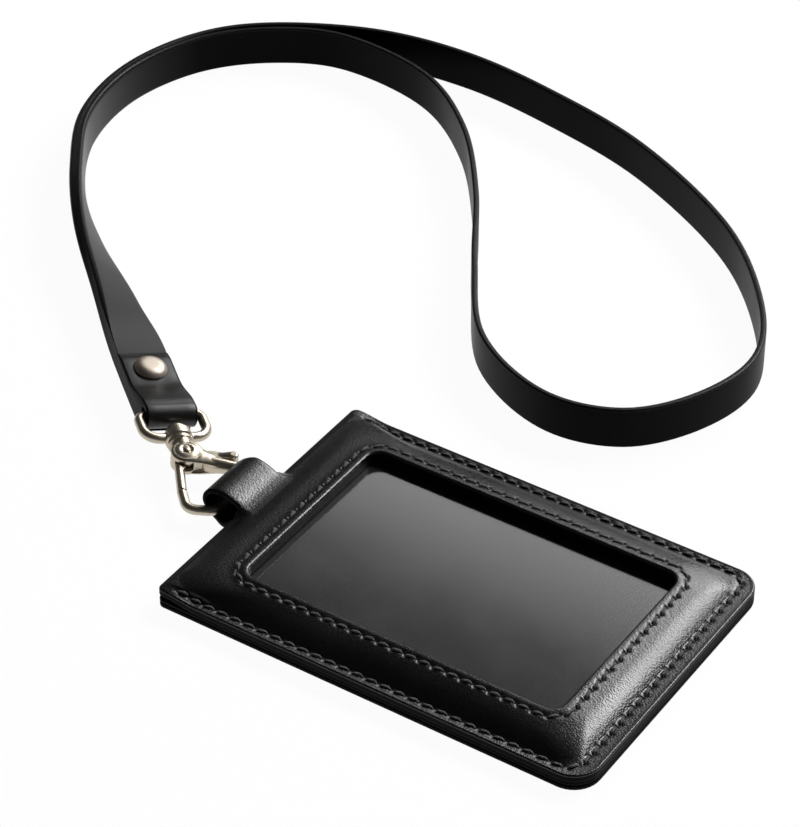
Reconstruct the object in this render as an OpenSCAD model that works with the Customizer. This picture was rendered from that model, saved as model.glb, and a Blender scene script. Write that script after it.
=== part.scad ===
// Badge holder with a swivel trigger clasp on a flat leather neck strap.
// Millimetres. The holder lies flat with the middle of its back face at the origin.
// +Y runs along the holder to its hang tab and the clasp, +Z is up.

/* [Holder] */
// Width of the card pocket
pocket_w = 54.8; // [48:0.2:90]
// Width of the border on each side of the card pocket
side_border = 7.6; // [6.8:0.1:12]
// Length of the border above and below the window
end_border = 13; // [11.5:0.5:20]
// Rounding of the two bottom corners
corner_r = 6; // [2:0.5:12]
// Rounding of the two top corners
top_corner_r = 1.5; // [0.8:0.1:6]
// Thickness of the back panel leather
back_t = 1.2; // [0.8:0.1:3]
// Thickness of the lining that closes the pocket
lining_t = 1; // [0.5:0.1:2]
// Height of the card pocket under the window
pocket_gap = 1.5; // [1:0.1:4]
// Height of the card mouth under the top rim
mouth_h = 1; // [0.8:0.1:2]
// Thickness of the window film
film_t = 0.3; // [0.2:0.05:1]
// Film margin held under the frame
film_margin = 3; // [1.8:0.1:3.6]

/* [Front cover] */
// Lap of the front cover over each side of the card pocket
window_lap = 3.9; // [3.5:0.1:12]
// Height of the window
window_h = 73; // [40:0.5:120]
// Rounding of the window corners
window_r = 3; // [1:0.5:8]
// Thickness of the flat rim leather
rim_t = 1.6; // [1:0.1:3]
// Height of the padded frame over the window film
pad_rise = 1.95; // [1.6:0.05:4]
// Width of the flat rim outside the padding
rim_w = 2.6; // [2.2:0.1:4]
// Width of the rising side of the padding
pad_w = 4.2; // [3.6:0.1:6]

/* [Hang tab] */
// Width of the hang tab over its crest
tab_w = 13.4; // [11:0.2:20]
// Reach of the hang tab to the right where the hook passes behind it
tab_back = 4.6; // [3:0.1:6]
// Thickness of the hang tab leather
tab_t = 1.2; // [0.8:0.1:1.5]

/* [Stitches] */
// Distance from one stitch to the next
stitch_pitch = 3.2; // [2:0.1:6]
// Length of one stitch
stitch_len = 2.3; // [1.2:0.1:4]
// Width of one stitch
stitch_w = 0.7; // [0.4:0.05:0.9]
// Height of one stitch over the leather
stitch_h = 0.4; // [0.2:0.05:0.6]

/* [Clasp] */
// Diameter of the hook and eye wire
wire_d = 2.2; // [1.6:0.1:2.5]
// Rise of the clasp from the hang tab to the strap, degrees
clasp_pitch = 6; // [4:0.5:12]
// Turn of the swivel axis away from the holder, degrees
axis_turn = 38; // [25:1:45]
// Thickness of the hook head
head_t = 4.4; // [3.6:0.1:5]
// Radius of the hook head around the gate pin
head_r = 3.3; // [3:0.1:3.8]
// Thickness of the gate lever
lever_t = 1.5; // [1:0.1:2]
// Diameter of the gate bar
gate_d = 2.1; // [1.6:0.1:2.4]
// Reach of the gate bar from its pin
gate_reach = 10.5; // [10:0.1:11]
// Diameter of the gate pin
gate_pin_d = 1.6; // [1.2:0.1:2]
// Diameter of the swivel pin
swivel_pin_d = 2.5; // [2:0.1:3]
// Diameter of the eye hub
hub_d = 6; // [5.2:0.1:7]
// Distance from the eye hub to the strap bar
eye_reach = 7.4; // [7:0.1:14]
// Roll of the eye about the swivel axis, degrees
eye_roll = 8; // [0:1:14]

/* [Strap] */
// Width of the neck strap
strap_w = 10; // [7:0.5:14]
// Thickness of the neck strap leather
strap_t = 1.4; // [1:0.1:1.6]
// Length of the fold-back from the bar to its cut end
fold_len = 20.8; // [18:0.2:26]
// Distance from the bar to the rivet
rivet_at = 15; // [12:0.1:17]
// Diameter of the rivet cap
rivet_d = 7.4; // [5:0.1:8]
// Diameter of the rivet post
rivet_post_d = 2.4; // [1.6:0.1:3]

/* [Fits] */
// Radial play of a pin that turns in its bore
run_play = 0.05; // [0.02:0.01:0.1]
// Side play of the lever in its slot and of the hub on its pin
side_play = 0.15; // [0.1:0.05:0.3]
// Gap between the closed gate and the hook
gate_gap = 0.3; // [0.2:0.05:0.5]
// Gap between leather layers that lie on each other
ply_gap = 0.15; // [0.1:0.05:0.3]
// Gap between the strap fold and the bar inside it
fold_play = 0.25; // [0.15:0.05:0.4]

/* [View] */
// Sub-component to draw

/* [Hidden] */
$fn = 40;
leather = [0.07, 0.07, 0.075];
leather_side = [0.16, 0.16, 0.16];
lining_colour = [0.05, 0.05, 0.06];
film_colour = [0.35, 0.36, 0.38];
foam_colour = [0.3, 0.3, 0.28];
thread_colour = [0.12, 0.12, 0.12];
metal = [0.82, 0.76, 0.7];
steel = [0.7, 0.7, 0.72];

// Holder and window from the pocket and its borders
holder_w = pocket_w + 2 * side_border;
window_w = pocket_w - 2 * window_lap;
holder_h = window_h + 2 * end_border;

// Heights in the holder
lining_z = back_t + lining_t;
film_z = lining_z + pocket_gap;
cover_z = film_z + film_t;
rim_z = lining_z + rim_t;
top_under_z = lining_z + mouth_h;
top_rim_z = top_under_z + rim_t - 0.2;
pad_z = cover_z + pad_rise;
pad_in_z = cover_z + 0.45;
groove_out = 2.2;
groove_half = 0.5;
groove_bank = 0.7;
groove_d = 0.45;
groove_z = pad_z - groove_d;
lip_rise = 0.25;
lip_round = 0.4;
lip_w = 1.6;
pad_inset = rim_w + pad_w;
pad_corner_r = window_r + 2.5;
arc_steps = 6;

// Where the tab bar of the hook lies
bar_r = wire_d / 2;
bar_y = holder_h / 2 + 5.7;
bar_z = tab_t + bar_r + 0.5;

// Clasp plane points, x across and y away from the tab bar
pivot = [2, 14.2];
gate_root = [-1, 13.9];
gate_tip = [-6.9, 8.75];
hook_nose = [-6.2, 9.55];
hook_left = [-10.6, 4.8];
bend_left = [-tab_w / 2 - 0.8, 0];
bend_right = [tab_back + 3.2, 0];
arm_top = [3.1, 9.8];
thumb_root = [5.6, 10.7];
thumb_tip = [7.8, 6.3];
opening_at = [-0.9, 8.3];
opening_r = 3.4;
slot_t = lever_t + 2 * side_play;
lever_r = 2.2;
lever_gap = 0.4;
gate_open = 22;

// Along the swivel axis from the gate pin
neck_end = 4.75;
hub_start = neck_end + side_play;
hub_len = 2.7;
hub_mid = hub_start + hub_len / 2;
dome_start = hub_start + hub_len + side_play;
dome_h = 2.1;
bar_s = hub_mid + eye_reach;
eye_half = strap_w / 2 + 2;
eye_bend = 1.8;
eye_low_bend = 3.2;

// Strap layers over the bar, along the eye normal
inner_n = bar_r + fold_play;
strand_n = inner_n + strap_t / 2;
back_n = -inner_n + ply_gap + strap_t / 2;
pair_gap = strap_t + ply_gap;
under_n = -inner_n - strap_t - pair_gap;
rivet_s = bar_s + rivet_at;
post_hole_d = rivet_post_d + 0.1;
cap_base_n = back_n + strap_t / 2;
cap_h = 1.8;
foot_t = 0.7;

// Directions of the clasp and the eye in the shared frame
clasp_y = [0, cos(clasp_pitch), sin(clasp_pitch)];
clasp_n = [0, -sin(clasp_pitch), cos(clasp_pitch)];
axis_dir = sin(axis_turn) * [1, 0, 0] + cos(axis_turn) * clasp_y;
axis_side = cos(axis_turn) * [1, 0, 0] - sin(axis_turn) * clasp_y;
eye_n = cos(eye_roll) * clasp_n + sin(eye_roll) * axis_side;
bar_at = [0, bar_y, bar_z];
pivot_at = bar_at + pivot[0] * [1, 0, 0] + pivot[1] * clasp_y;

// Strap route: x and y from the tab bar, lift over half the strap width, tilt, strand gap
pair_route = [
  [39.5, 62, 0.1, 34, 1.6],
  [54, 80, 0.3, 64, 1.6],
  [70, 95.5, 0.2, 88, 1.6],
  [89, 107.5, 0.1, 90, 1.6],
  [110, 111, 0.1, 90, 1.6],
  [130, 105.5, 0.1, 90, 1.7],
  [144, 93, 0.1, 90, 2.2]
];
// Strap loop that lies open on its edge, x and y from the tab bar
loop_route = [
  [150.5, 75], [147, 50], [133, 30], [112, 13], [88, -2], [66, -18], [56, -39], [60, -57],
  [75, -68], [93, -70.5], [112, -60.5], [132, -40.5], [149, -9], [157, 21], [160, 47],
  [156.5, 71]
];
loop_lift = 0.1;
ring_steps = 2;

// Small vector helpers
function unit(v) = v / norm(v);
function mix(a, b, t) = a * (1 - t) + b * t;
function heading(v) = atan2(v[1], v[0]);

// Strap route as stations of place and tilt
function flat_right(t) = unit([t[1], -t[0], 0]);
function place(p) = [p[0], p[1], p[2]];
function face_n(t, tilt) = cos(tilt) * cross(flat_right(t), t) + sin(tilt) * flat_right(t);
function edge_w(t, tilt) = sin(tilt) * cross(flat_right(t), t) - cos(tilt) * flat_right(t);
function on_axis_at(s, n) = pivot_at + s * axis_dir + n * eye_n;
pair_n = (-strand_n + under_n + strap_t / 2) / 2;
start_tilt = atan2(eye_n * flat_right(axis_dir), eye_n * cross(flat_right(axis_dir), axis_dir));
function pair_start(s) = concat(on_axis_at(s, pair_n), [start_tilt, pair_gap]);
pair_stations = concat(
  [pair_start(bar_s), pair_start(bar_s + fold_len + 1)],
  [for (p = pair_route) [p[0], bar_y + p[1], strap_w / 2 + p[2], p[3], p[4]]]
);
pair_last = len(pair_stations) - 1;
function pair_dir(i) =
  i == 0 ? axis_dir
  : unit(place(pair_stations[min(i + 1, pair_last)]) - place(pair_stations[i - 1]));
function strand_at(i, side) =
  let (p = pair_stations[i])
  concat(place(p) + side * p[4] / 2 * face_n(pair_dir(i), p[3]), [side > 0 ? p[3] : 180 - p[3]]);
strap_stations = concat(
  [for (i = [0 : pair_last]) strand_at(i, 1)],
  [for (p = loop_route) [p[0], bar_y + p[1], strap_w / 2 + loop_lift, 90]],
  [for (i = [pair_last : -1 : 0]) strand_at(i, -1)]
);
strap_last = len(strap_stations) - 1;

// Smooth curve through the stations
function spline(a, b, c, d, t) =
  0.5 * (2 * b + (c - a) * t + (2 * a - 5 * b + 4 * c - d) * t * t
    + (3 * b - a - 3 * c + d) * t * t * t);
function station(i) =
  i < 0 ? 2 * strap_stations[0] - strap_stations[1]
  : i > strap_last ? 2 * strap_stations[strap_last] - strap_stations[strap_last - 1]
  : strap_stations[i];
strap_curve = concat(
  [for (i = [0 : strap_last - 1], k = [0 : ring_steps - 1])
    spline(station(i - 1), station(i), station(i + 1), station(i + 2), k / ring_steps)],
  [strap_stations[strap_last]]
);
curve_last = len(strap_curve) - 1;
function curve_dir(i) =
  i == 0 ? axis_dir
  : i == curve_last ? -axis_dir
  : unit(place(strap_curve[i + 1]) - place(strap_curve[i - 1]));

// Strap section, corners cut a little
edge_cut = 0.35;
strap_half = strap_w / 2;
ply_half = strap_t / 2;
strap_section = [
  [strap_half - edge_cut, ply_half], [-strap_half + edge_cut, ply_half],
  [-strap_half, ply_half - edge_cut], [-strap_half, -ply_half + edge_cut],
  [-strap_half + edge_cut, -ply_half], [strap_half - edge_cut, -ply_half],
  [strap_half, -ply_half + edge_cut], [strap_half, ply_half - edge_cut]
];
function strap_ring(i) =
  let (p = strap_curve[i], t = curve_dir(i))
  [for (c = strap_section) place(p) + c[0] * edge_w(t, p[3]) + c[1] * face_n(t, p[3])];

// Joins a list of equal rings into one skin
function ring_faces(count, sides, closed) = [
  for (i = [0 : count - (closed ? 1 : 2)], j = [0 : sides - 1], half = [0, 1])
    let (
      a = i * sides + j,
      b = i * sides + (j + 1) % sides,
      c = ((i + 1) % count) * sides + (j + 1) % sides,
      d = ((i + 1) % count) * sides + j
    )
    half == 0 ? [a, c, b] : [a, d, c]
];
function end_faces(count, sides) = [
  [for (j = [0 : sides - 1]) j],
  [for (j = [sides - 1 : -1 : 0]) (count - 1) * sides + j]
];
module tube(rings) {
  sides = len(rings[0]);
  polyhedron(
    points = [for (r = rings, p = r) p],
    faces = concat(ring_faces(len(rings), sides, false), end_faces(len(rings), sides)),
    convexity = 8
  );
}
module frame_skin(rings) {
  polyhedron(
    points = [for (r = rings, p = r) p],
    faces = ring_faces(len(rings), len(rings[0]), true),
    convexity = 8
  );
}

// Outline of the holder drawn in by an inset, with its own inset and height on the top side
function corner_at(r, base, inset) =
  inset <= rim_w
    ? max(r - inset, base)
    : mix(max(r - rim_w, base), pad_corner_r, (inset - rim_w) / pad_w);
function quarter(centre, r, from, z) = [
  for (k = [0 : arc_steps])
    [centre[0] + r * cos(from + 90 * k / arc_steps),
     centre[1] + r * sin(from + 90 * k / arc_steps), z]
];
side_end_y = holder_h / 2 - 4;
function break_at(high, r_high) = min(side_end_y, high - r_high - 0.5);
function box_ring(hw, low, high, r_low, r_high, z, z_top) = concat(
  quarter([hw - r_low, low + r_low], r_low, -90, z),
  [[hw, break_at(high, r_high), z]],
  quarter([hw - r_high, high - r_high], r_high, 0, z_top),
  quarter([-hw + r_high, high - r_high], r_high, 90, z_top),
  [[-hw, break_at(high, r_high), z]],
  quarter([-hw + r_low, low + r_low], r_low, 180, z)
);
function rim_ring(inset, z, inset_top, z_top) = box_ring(
  holder_w / 2 - inset, -holder_h / 2 + inset, holder_h / 2 - inset_top,
  corner_at(corner_r, 0.6, inset), corner_at(top_corner_r, 0.6, inset), z, z_top
);
function window_ring(outset, z) = box_ring(
  window_w / 2 + outset, -window_h / 2 - outset, window_h / 2 + outset,
  window_r + outset, window_r + outset, z, z
);
function pad_inset_at(t) = rim_w + pad_w * t;
function top_inset_at(t) = mix(1.6, pad_inset, t);
function pad_up(t) = mix(rim_z, pad_z, t);
function top_up(t) = mix(top_rim_z + 0.3, pad_z, t);
function pad_under(t) = mix(lining_z, pad_in_z, t);
function top_under(t) = mix(top_under_z, pad_in_z, t);
rim_break = 0.3;
cover_rings = [
  rim_ring(0, lining_z, 0, top_under_z),
  rim_ring(0, rim_z - rim_break, 0, top_rim_z - rim_break),
  rim_ring(rim_break, rim_z, rim_break, top_rim_z),
  rim_ring(rim_w, rim_z, top_inset_at(0), top_up(0)),
  rim_ring(pad_inset_at(0.2), pad_up(0.3), top_inset_at(0.25), top_up(0.4)),
  rim_ring(pad_inset_at(0.55), pad_up(0.75), top_inset_at(0.55), top_up(0.8)),
  rim_ring(pad_inset, pad_z, pad_inset, pad_z),
  window_ring(groove_out + groove_half + groove_bank, pad_z),
  window_ring(groove_out + groove_half, groove_z),
  window_ring(groove_out - groove_half, groove_z),
  window_ring(lip_round + groove_bank, groove_z + lip_rise),
  window_ring(lip_round, groove_z + lip_rise / 2),
  window_ring(0, groove_z - lip_rise),
  window_ring(0, cover_z),
  window_ring(lip_w, cover_z),
  window_ring(lip_w + lip_round, cover_z + rim_break),
  rim_ring(pad_inset, pad_in_z, pad_inset, pad_in_z),
  rim_ring(pad_inset_at(0.66), pad_under(0.75), pad_inset_at(0.66), top_under(0.75)),
  rim_ring(pad_inset_at(0.4), pad_under(0.25), pad_inset_at(0.4), top_under(0.2)),
  rim_ring(pad_inset_at(0.28), lining_z, pad_inset_at(0.28), top_under_z)
];

// Foam under the padding, its foot stands on the lining beside the pocket
function foam_side(t) = rim_ring(pad_inset_at(t), 0, pad_inset_at(t), 0);
function lifted(ring, z) = [for (p = ring) [p[0], p[1], z]];
foam_film_out = film_margin - 0.5;
foam_foot_out = window_lap;
foam_rings = [
  lifted(foam_side(0.62), lining_z),
  lifted(foam_side(0.7), lining_z + 0.5 * (pad_in_z - lining_z)),
  lifted(foam_side(0.95), cover_z + 0.25),
  window_ring(foam_film_out, cover_z + 0.2),
  window_ring(foam_film_out, cover_z),
  window_ring(foam_foot_out, cover_z),
  window_ring(foam_foot_out, lining_z)
];

// Hang tab centre line: y from the holder top edge, z, reach to the right and to the left
tab_half = tab_w / 2;
top_y = holder_h / 2;
tab_line = [
  [-5.5, pad_z - 0.85, tab_half + 1, tab_half + 1],
  [-2.5, top_rim_z + 0.45, tab_half + 0.8, tab_half + 0.8],
  [-0.4, top_rim_z + 0.9, tab_half + 0.4, tab_half + 0.4],
  [1.6, bar_z + 3.6, tab_half, tab_half],
  [3.7, bar_z + 4.3, tab_half, tab_half],
  [5.5, bar_z + 4.35, tab_half, tab_half],
  [7.3, bar_z + 3.8, mix(tab_half, tab_back, 0.5), tab_half],
  [8.6, bar_z + 2.4, tab_back, tab_half],
  [8.9, bar_z + 0.7, tab_back, tab_half],
  [8.1, bar_z - 0.9, tab_back, tab_half],
  [6.1, tab_t / 2 + 0.15, tab_back, tab_half + 0.4],
  [3.5, tab_t / 2 + 0.1, tab_back, tab_half + 1.6],
  [1.7, bar_z - 1.2, tab_back, tab_half + 2],
  [0.5, top_under_z - 0.35, tab_back, tab_half + 2],
  [-0.5, top_under_z + tab_t / 2 + 0.05, tab_back, tab_half + 2]
];
tab_last = len(tab_line) - 1;
function tab_dir(i) =
  let (a = tab_line[max(i - 1, 0)], b = tab_line[min(i + 1, tab_last)])
  unit([b[0] - a[0], b[1] - a[1]]);
function tab_ring(p, d) =
  let (left = -p[3], out = tab_t / 2 * [-d[1], d[0]])
  [
    [left, top_y + p[0] + out[0], p[1] + out[1]],
    [p[2], top_y + p[0] + out[0], p[1] + out[1]],
    [p[2], top_y + p[0] - out[0], p[1] - out[1]],
    [left, top_y + p[0] - out[0], p[1] - out[1]]
  ];
module hang_tab() {
  tube([for (i = [0 : tab_last]) tab_ring(tab_line[i], tab_dir(i))]);
}

// Places for clasp and eye
module in_clasp() {
  translate(bar_at) rotate([clasp_pitch, 0, 0]) children();
}
module at_pivot() {
  in_clasp() translate([pivot[0], pivot[1], 0]) children();
}
module on_axis() {
  at_pivot() rotate([0, 0, -axis_turn]) children();
}
module in_eye() {
  on_axis() rotate([0, eye_roll, 0]) children();
}
module turned_along_y() {
  rotate([-90, 0, 0]) children();
}

// Wire pieces in a plane, straight legs and left-hand bends
function bend_cut(a, p, b, r) = r * tan((heading(b - p) - heading(p - a) + 720) % 360 / 2);
module leg(a, b, d) {
  translate([a[0], a[1], 0])
    rotate([0, 0, heading(b - a)])
      rotate([0, 90, 0])
        cylinder(d = d, h = norm(b - a));
}
module bend(a, p, b, r, d) {
  way_in = unit(p - a);
  turn = (heading(b - p) - heading(way_in) + 720) % 360;
  start = p - way_in * bend_cut(a, p, b, r);
  centre = start + r * [-way_in[1], way_in[0]];
  translate([centre[0], centre[1], 0])
    rotate([0, 0, heading(start - centre)])
      rotate_extrude(angle = turn)
        translate([r, 0])
          circle(d = d);
}
module bent_wire(line, radii, d) {
  last = len(line) - 1;
  for (i = [0 : last - 1]) {
    a = line[i];
    b = line[i + 1];
    way = unit(b - a);
    cut_a = i == 0 ? 0 : bend_cut(line[i - 1], a, b, radii[i]);
    cut_b = i == last - 1 ? 0 : bend_cut(a, b, line[i + 2], radii[i + 1]);
    leg(a + way * cut_a, b - way * cut_b, d);
  }
  for (i = [1 : last - 1]) {
    bend(line[i - 1], line[i], line[i + 1], radii[i], d);
  }
}

// Round slab with broken edges
module soft_disc(r, h, cut) {
  rotate_extrude()
    polygon([[0, -h / 2], [r - cut, -h / 2], [r, -h / 2 + cut], [r, h / 2 - cut],
      [r - cut, h / 2], [0, h / 2]]);
}
// Slice of a disc between two headings
module sector(r, from, to, h) {
  linear_extrude(height = h, center = true)
    polygon(concat([[0, 0]], [for (k = [0 : 6]) let (a = mix(from, to, k / 6)) r * [cos(a), sin(a)]]));
}
// Dome standing on z = 0
module dome(d, h, skirt) {
  ball_r = (d * d / 4 + (h - skirt) * (h - skirt)) / (2 * (h - skirt));
  steps = 7;
  top = asin(d / 2 / ball_r);
  rotate_extrude()
    polygon(concat(
      [[0, 0], [d / 2, 0]],
      [for (k = [steps : -1 : 1])
        ball_r * [sin(top * k / steps), cos(top * k / steps)] + [0, h - ball_r]],
      [[0, h]]
    ));
}

thumb_turn = heading(thumb_root - pivot);
gate_turn = heading(gate_root - pivot);
thumb_half = 0.75;
slot_room = 9;
slot_root_r = head_r + 0.7;
gate_slot = [gate_turn - 16, gate_turn + gate_open + 38];
thumb_slot = [thumb_turn - 16, thumb_turn + gate_open + 26];
thumb_slot_root = thumb_turn - 24;
arm_end = mix(arm_top, pivot, 0.2);
hook_line = [hook_nose, hook_left, bend_left, bend_right, arm_end];
hook_bends = [0, 2.4, 2.5, 2, 0];
bend_steps = 6;
wire_sides = 16;
bar_end_cut = 0.8;

// Path of a bent wire as places with headings
function bend_path(a, p, b, r) =
  let (
    way_in = unit(p - a),
    turn = (heading(b - p) - heading(way_in) + 720) % 360,
    start = p - way_in * bend_cut(a, p, b, r),
    centre = start + r * [-way_in[1], way_in[0]]
  )
  [for (k = [0 : bend_steps])
    let (h = heading(way_in) + turn * k / bend_steps)
    concat(centre + r * [sin(h), -cos(h)], [h])];
hook_path = concat(
  [concat(hook_nose, [heading(hook_left - hook_nose)])],
  [for (i = [1 : len(hook_line) - 2])
    each bend_path(hook_line[i - 1], hook_line[i], hook_line[i + 1], hook_bends[i])],
  [concat(arm_end, [heading(arm_end - bend_right)])]
);
function wire_ring(p) = [
  for (k = [0 : wire_sides - 1])
    let (a = 360 * k / wire_sides)
    [p[0] + bar_r * cos(a) * sin(p[2]), p[1] - bar_r * cos(a) * cos(p[2]), -bar_r * sin(a)]
];
module hook_wire() {
  difference() {
    union() {
      tube([for (p = hook_path) wire_ring(p)]);
      leg([-tab_half + bar_end_cut, 0], [tab_back - bar_end_cut, 0], wire_d);
    }
    intersection() {
      translate([pivot[0], pivot[1], 0])
        cylinder(r = gate_reach + gate_gap, h = 2 * wire_d, center = true, $fn = 96);
      translate([hook_left[0], 0, -wire_d])
        cube([gate_root[0] - hook_left[0] - 2, pivot[1], 2 * wire_d]);
    }
  }
}
module hook_head() {
  hull() {
    translate([pivot[0], pivot[1], 0]) soft_disc(head_r, head_t, 0.4, $fn = 32);
    translate([arm_top[0], arm_top[1], 0]) soft_disc(bar_r + 0.1, wire_d + 0.2, 0.3, $fn = 32);
  }
  translate([pivot[0], pivot[1], 0]) rotate([0, 0, -axis_turn]) {
    turned_along_y() cylinder(r = head_t / 2 + 0.2, h = neck_end);
    translate([0, neck_end - 0.9, 0]) turned_along_y() cylinder(d = hub_d - 0.4, h = 0.9);
  }
}
module hook_body() {
  color(metal) in_clasp() {
    difference() {
      union() {
        hook_wire();
        difference() {
          hook_head();
          translate([opening_at[0], opening_at[1], 0])
            cylinder(r = opening_r, h = 2 * head_t, center = true, $fn = 64);
        }
      }
      translate([pivot[0], pivot[1], 0]) {
        cylinder(r = lever_r + lever_gap, h = slot_t, center = true);
        sector(slot_room, gate_slot[0], gate_slot[1], slot_t);
        sector(slot_room, thumb_slot[0], thumb_slot[1], slot_t);
        sector(slot_root_r, thumb_slot_root, thumb_turn, slot_t);
        cylinder(d = gate_pin_d, h = 2 * head_t, center = true);
        rotate([0, 0, -axis_turn])
          translate([0, lever_r + lever_gap + 0.3, 0])
            turned_along_y() cylinder(d = swivel_pin_d, h = neck_end);
      }
    }
  }
}

module gate_pin() {
  color(steel) at_pivot() cylinder(d = gate_pin_d, h = head_t, center = true);
}

spring_floor = lever_t / 2 - 0.95;
spring_room_r = 1.75;
module gate_lever() {
  color(metal) in_clasp() difference() {
    union() {
      translate([pivot[0], pivot[1], 0]) cylinder(r = lever_r, h = lever_t, center = true);
      linear_extrude(height = lever_t, center = true) {
        hull() {
          translate(pivot) circle(r = 0.95, $fn = 32);
          translate(mix(gate_root, gate_tip, 0.22)) circle(r = 0.85, $fn = 32);
        }
        hull() {
          translate(pivot) circle(r = thumb_half + 0.1, $fn = 32);
          translate(thumb_root) circle(r = thumb_half, $fn = 32);
        }
        hull() {
          translate(thumb_root) circle(r = thumb_half, $fn = 32);
          translate(thumb_tip) circle(r = thumb_half + 0.1, $fn = 32);
        }
      }
      hull() {
        translate([thumb_tip[0], thumb_tip[1], 0]) soft_disc(thumb_half + 0.3, 2 * lever_t, 0.3, $fn = 32);
        translate(concat(mix(thumb_root, thumb_tip, 0.45), [0]))
          soft_disc(thumb_half, lever_t, 0.2, $fn = 32);
      }
      difference() {
        intersection() {
          leg(gate_root, gate_root + 1.3 * (gate_tip - gate_root), gate_d);
          translate([pivot[0], pivot[1], 0])
            cylinder(r = gate_reach, h = 2 * head_t, center = true, $fn = 96);
        }
        translate([pivot[0], pivot[1], 0])
          cylinder(r = head_r + gate_gap, h = 2 * head_t, center = true, $fn = 64);
      }
    }
    translate([pivot[0], pivot[1], 0]) {
      cylinder(d = gate_pin_d + 2 * run_play, h = 2 * head_t, center = true);
      translate([0, 0, spring_floor]) cylinder(r = spring_room_r, h = lever_t);
      translate([-0.9, 0, spring_floor]) cube([1.8, lever_r + 1, lever_t]);
    }
  }
}

// Coil of the gate spring, one leg against the head and one in the lever
spring_wire_r = 0.14;
spring_turns = 2.25;
coil_r = 1.4;
coil_steps = 30;
coil_start = 90;
spring_low_n = spring_floor + 0.2;
spring_line = concat(
  [[0, lever_r + lever_gap - 0.1, spring_low_n]],
  [for (k = [0 : coil_steps])
    let (a = coil_start + 360 * spring_turns * k / coil_steps)
    [coil_r * cos(a), coil_r * sin(a), spring_low_n + 0.62 * k / coil_steps]]
);
function spring_dir(i) =
  unit(spring_line[min(i + 1, len(spring_line) - 1)] - spring_line[max(i - 1, 0)]);
function spring_ring(i) =
  let (t = spring_dir(i), a = unit(cross(t, [0, 0, 1])), b = cross(a, t))
  [for (k = [0 : 7]) spring_line[i] + spring_wire_r * (cos(45 * k) * a - sin(45 * k) * b)];
module gate_spring() {
  color(steel) at_pivot() tube([for (i = [0 : len(spring_line) - 1]) spring_ring(i)]);
}

module swivel_pin() {
  foot = lever_r + lever_gap + 0.3;
  color(metal) on_axis() turned_along_y() {
    translate([0, 0, foot]) cylinder(d = swivel_pin_d, h = dome_start - foot);
    translate([0, 0, dome_start]) dome(hub_d - 1.2, dome_h, 0.4);
  }
}

eye_line = [
  [hub_d / 2 - 1, hub_mid], [eye_half, hub_mid], [eye_half, bar_s],
  [-eye_half, bar_s], [-eye_half, hub_mid], [-hub_d / 2 + 1, hub_mid]
];
eye_bends = [0, eye_low_bend, eye_bend, eye_bend, eye_low_bend, 0];
module swivel_eye() {
  hub_cut = 0.4;
  color(metal) in_eye() difference() {
    union() {
      bent_wire(eye_line, eye_bends, wire_d);
      translate([0, hub_mid, 0]) turned_along_y() soft_disc(hub_d / 2, hub_len, hub_cut);
    }
    translate([0, hub_mid, 0]) turned_along_y()
      cylinder(d = swivel_pin_d + 2 * run_play, h = 2 * hub_len, center = true);
  }
}

// Fold of the strap around the eye bar, drawn as a section and drawn out sideways
fold_steps = 12;
fold_top = [
  [1.6, strand_n - 0.05], [3.6, mix(strand_n, back_n, 0.35)], [5.6, mix(strand_n, back_n, 0.82)],
  [7.4, back_n], [fold_len, back_n]
];
fold_line = concat(
  [for (k = [0 : fold_steps]) let (a = -90 - 180 * k / fold_steps) strand_n * [cos(a), sin(a)]],
  fold_top
);
function fold_dir(i) =
  i == 0 ? [-1, 0]
  : i == len(fold_line) - 1 ? [1, 0]
  : unit(fold_line[i + 1] - fold_line[i - 1]);
function fold_side(side) = [
  for (i = [0 : len(fold_line) - 1])
    fold_line[i] + side * strap_t / 2 * [-fold_dir(i)[1], fold_dir(i)[0]]
];
function flipped(list) = [for (i = [len(list) - 1 : -1 : 0]) list[i]];
module strap_fold() {
  color(leather) in_eye() difference() {
    translate([strap_w / 2, bar_s, 0])
      rotate([90, 0, -90])
        linear_extrude(height = strap_w)
          mirror([1, 0])
            polygon(concat(fold_side(1), flipped(fold_side(-1))));
    rivet_hole();
  }
}
module rivet_hole() {
  translate([0, rivet_s, under_n - 1])
    cylinder(d = post_hole_d, h = cap_base_n - under_n + 2);
}

module neck_strap() {
  color(leather) difference() {
    tube([for (i = [0 : curve_last]) strap_ring(i)]);
    in_eye() rivet_hole();
  }
}

cap_socket = 0.9;
module rivet_cap() {
  color(metal) in_eye() translate([0, rivet_s, cap_base_n]) difference() {
    dome(rivet_d, cap_h, 0.5);
    translate([0, 0, -1]) cylinder(d = rivet_post_d, h = 1 + cap_socket);
  }
}
module rivet_post() {
  color(metal) in_eye() translate([0, rivet_s, 0]) {
    translate([0, 0, under_n - foot_t / 2]) soft_disc((rivet_d - 1) / 2, foot_t, 0.2);
    translate([0, 0, under_n - 0.1])
      cylinder(d = rivet_post_d, h = cap_base_n + cap_socket - under_n + 0.1);
  }
}

module panel(z, t) {
  ring = rim_ring(0, 0, 0, 0);
  translate([0, 0, z]) linear_extrude(height = t) polygon([for (p = ring) [p[0], p[1]]]);
}
module back_panel() {
  color(leather_side) panel(0, back_t);
}
module pocket_lining() {
  color(lining_colour) panel(back_t, lining_t);
}
module window_film() {
  ring = window_ring(film_margin, 0);
  color(film_colour)
    translate([0, 0, film_z])
      linear_extrude(height = film_t)
        polygon([for (p = ring) [p[0], p[1]]]);
}
module foam_frame() {
  color(foam_colour) difference() {
    frame_skin(foam_rings);
    translate([-pocket_w / 2, window_h / 2 - window_r, lining_z - 1])
      cube([pocket_w, holder_h, film_z - lining_z + 1]);
  }
}
module front_cover() {
  color(leather) union() {
    frame_skin(cover_rings);
    hang_tab();
  }
}

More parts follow.
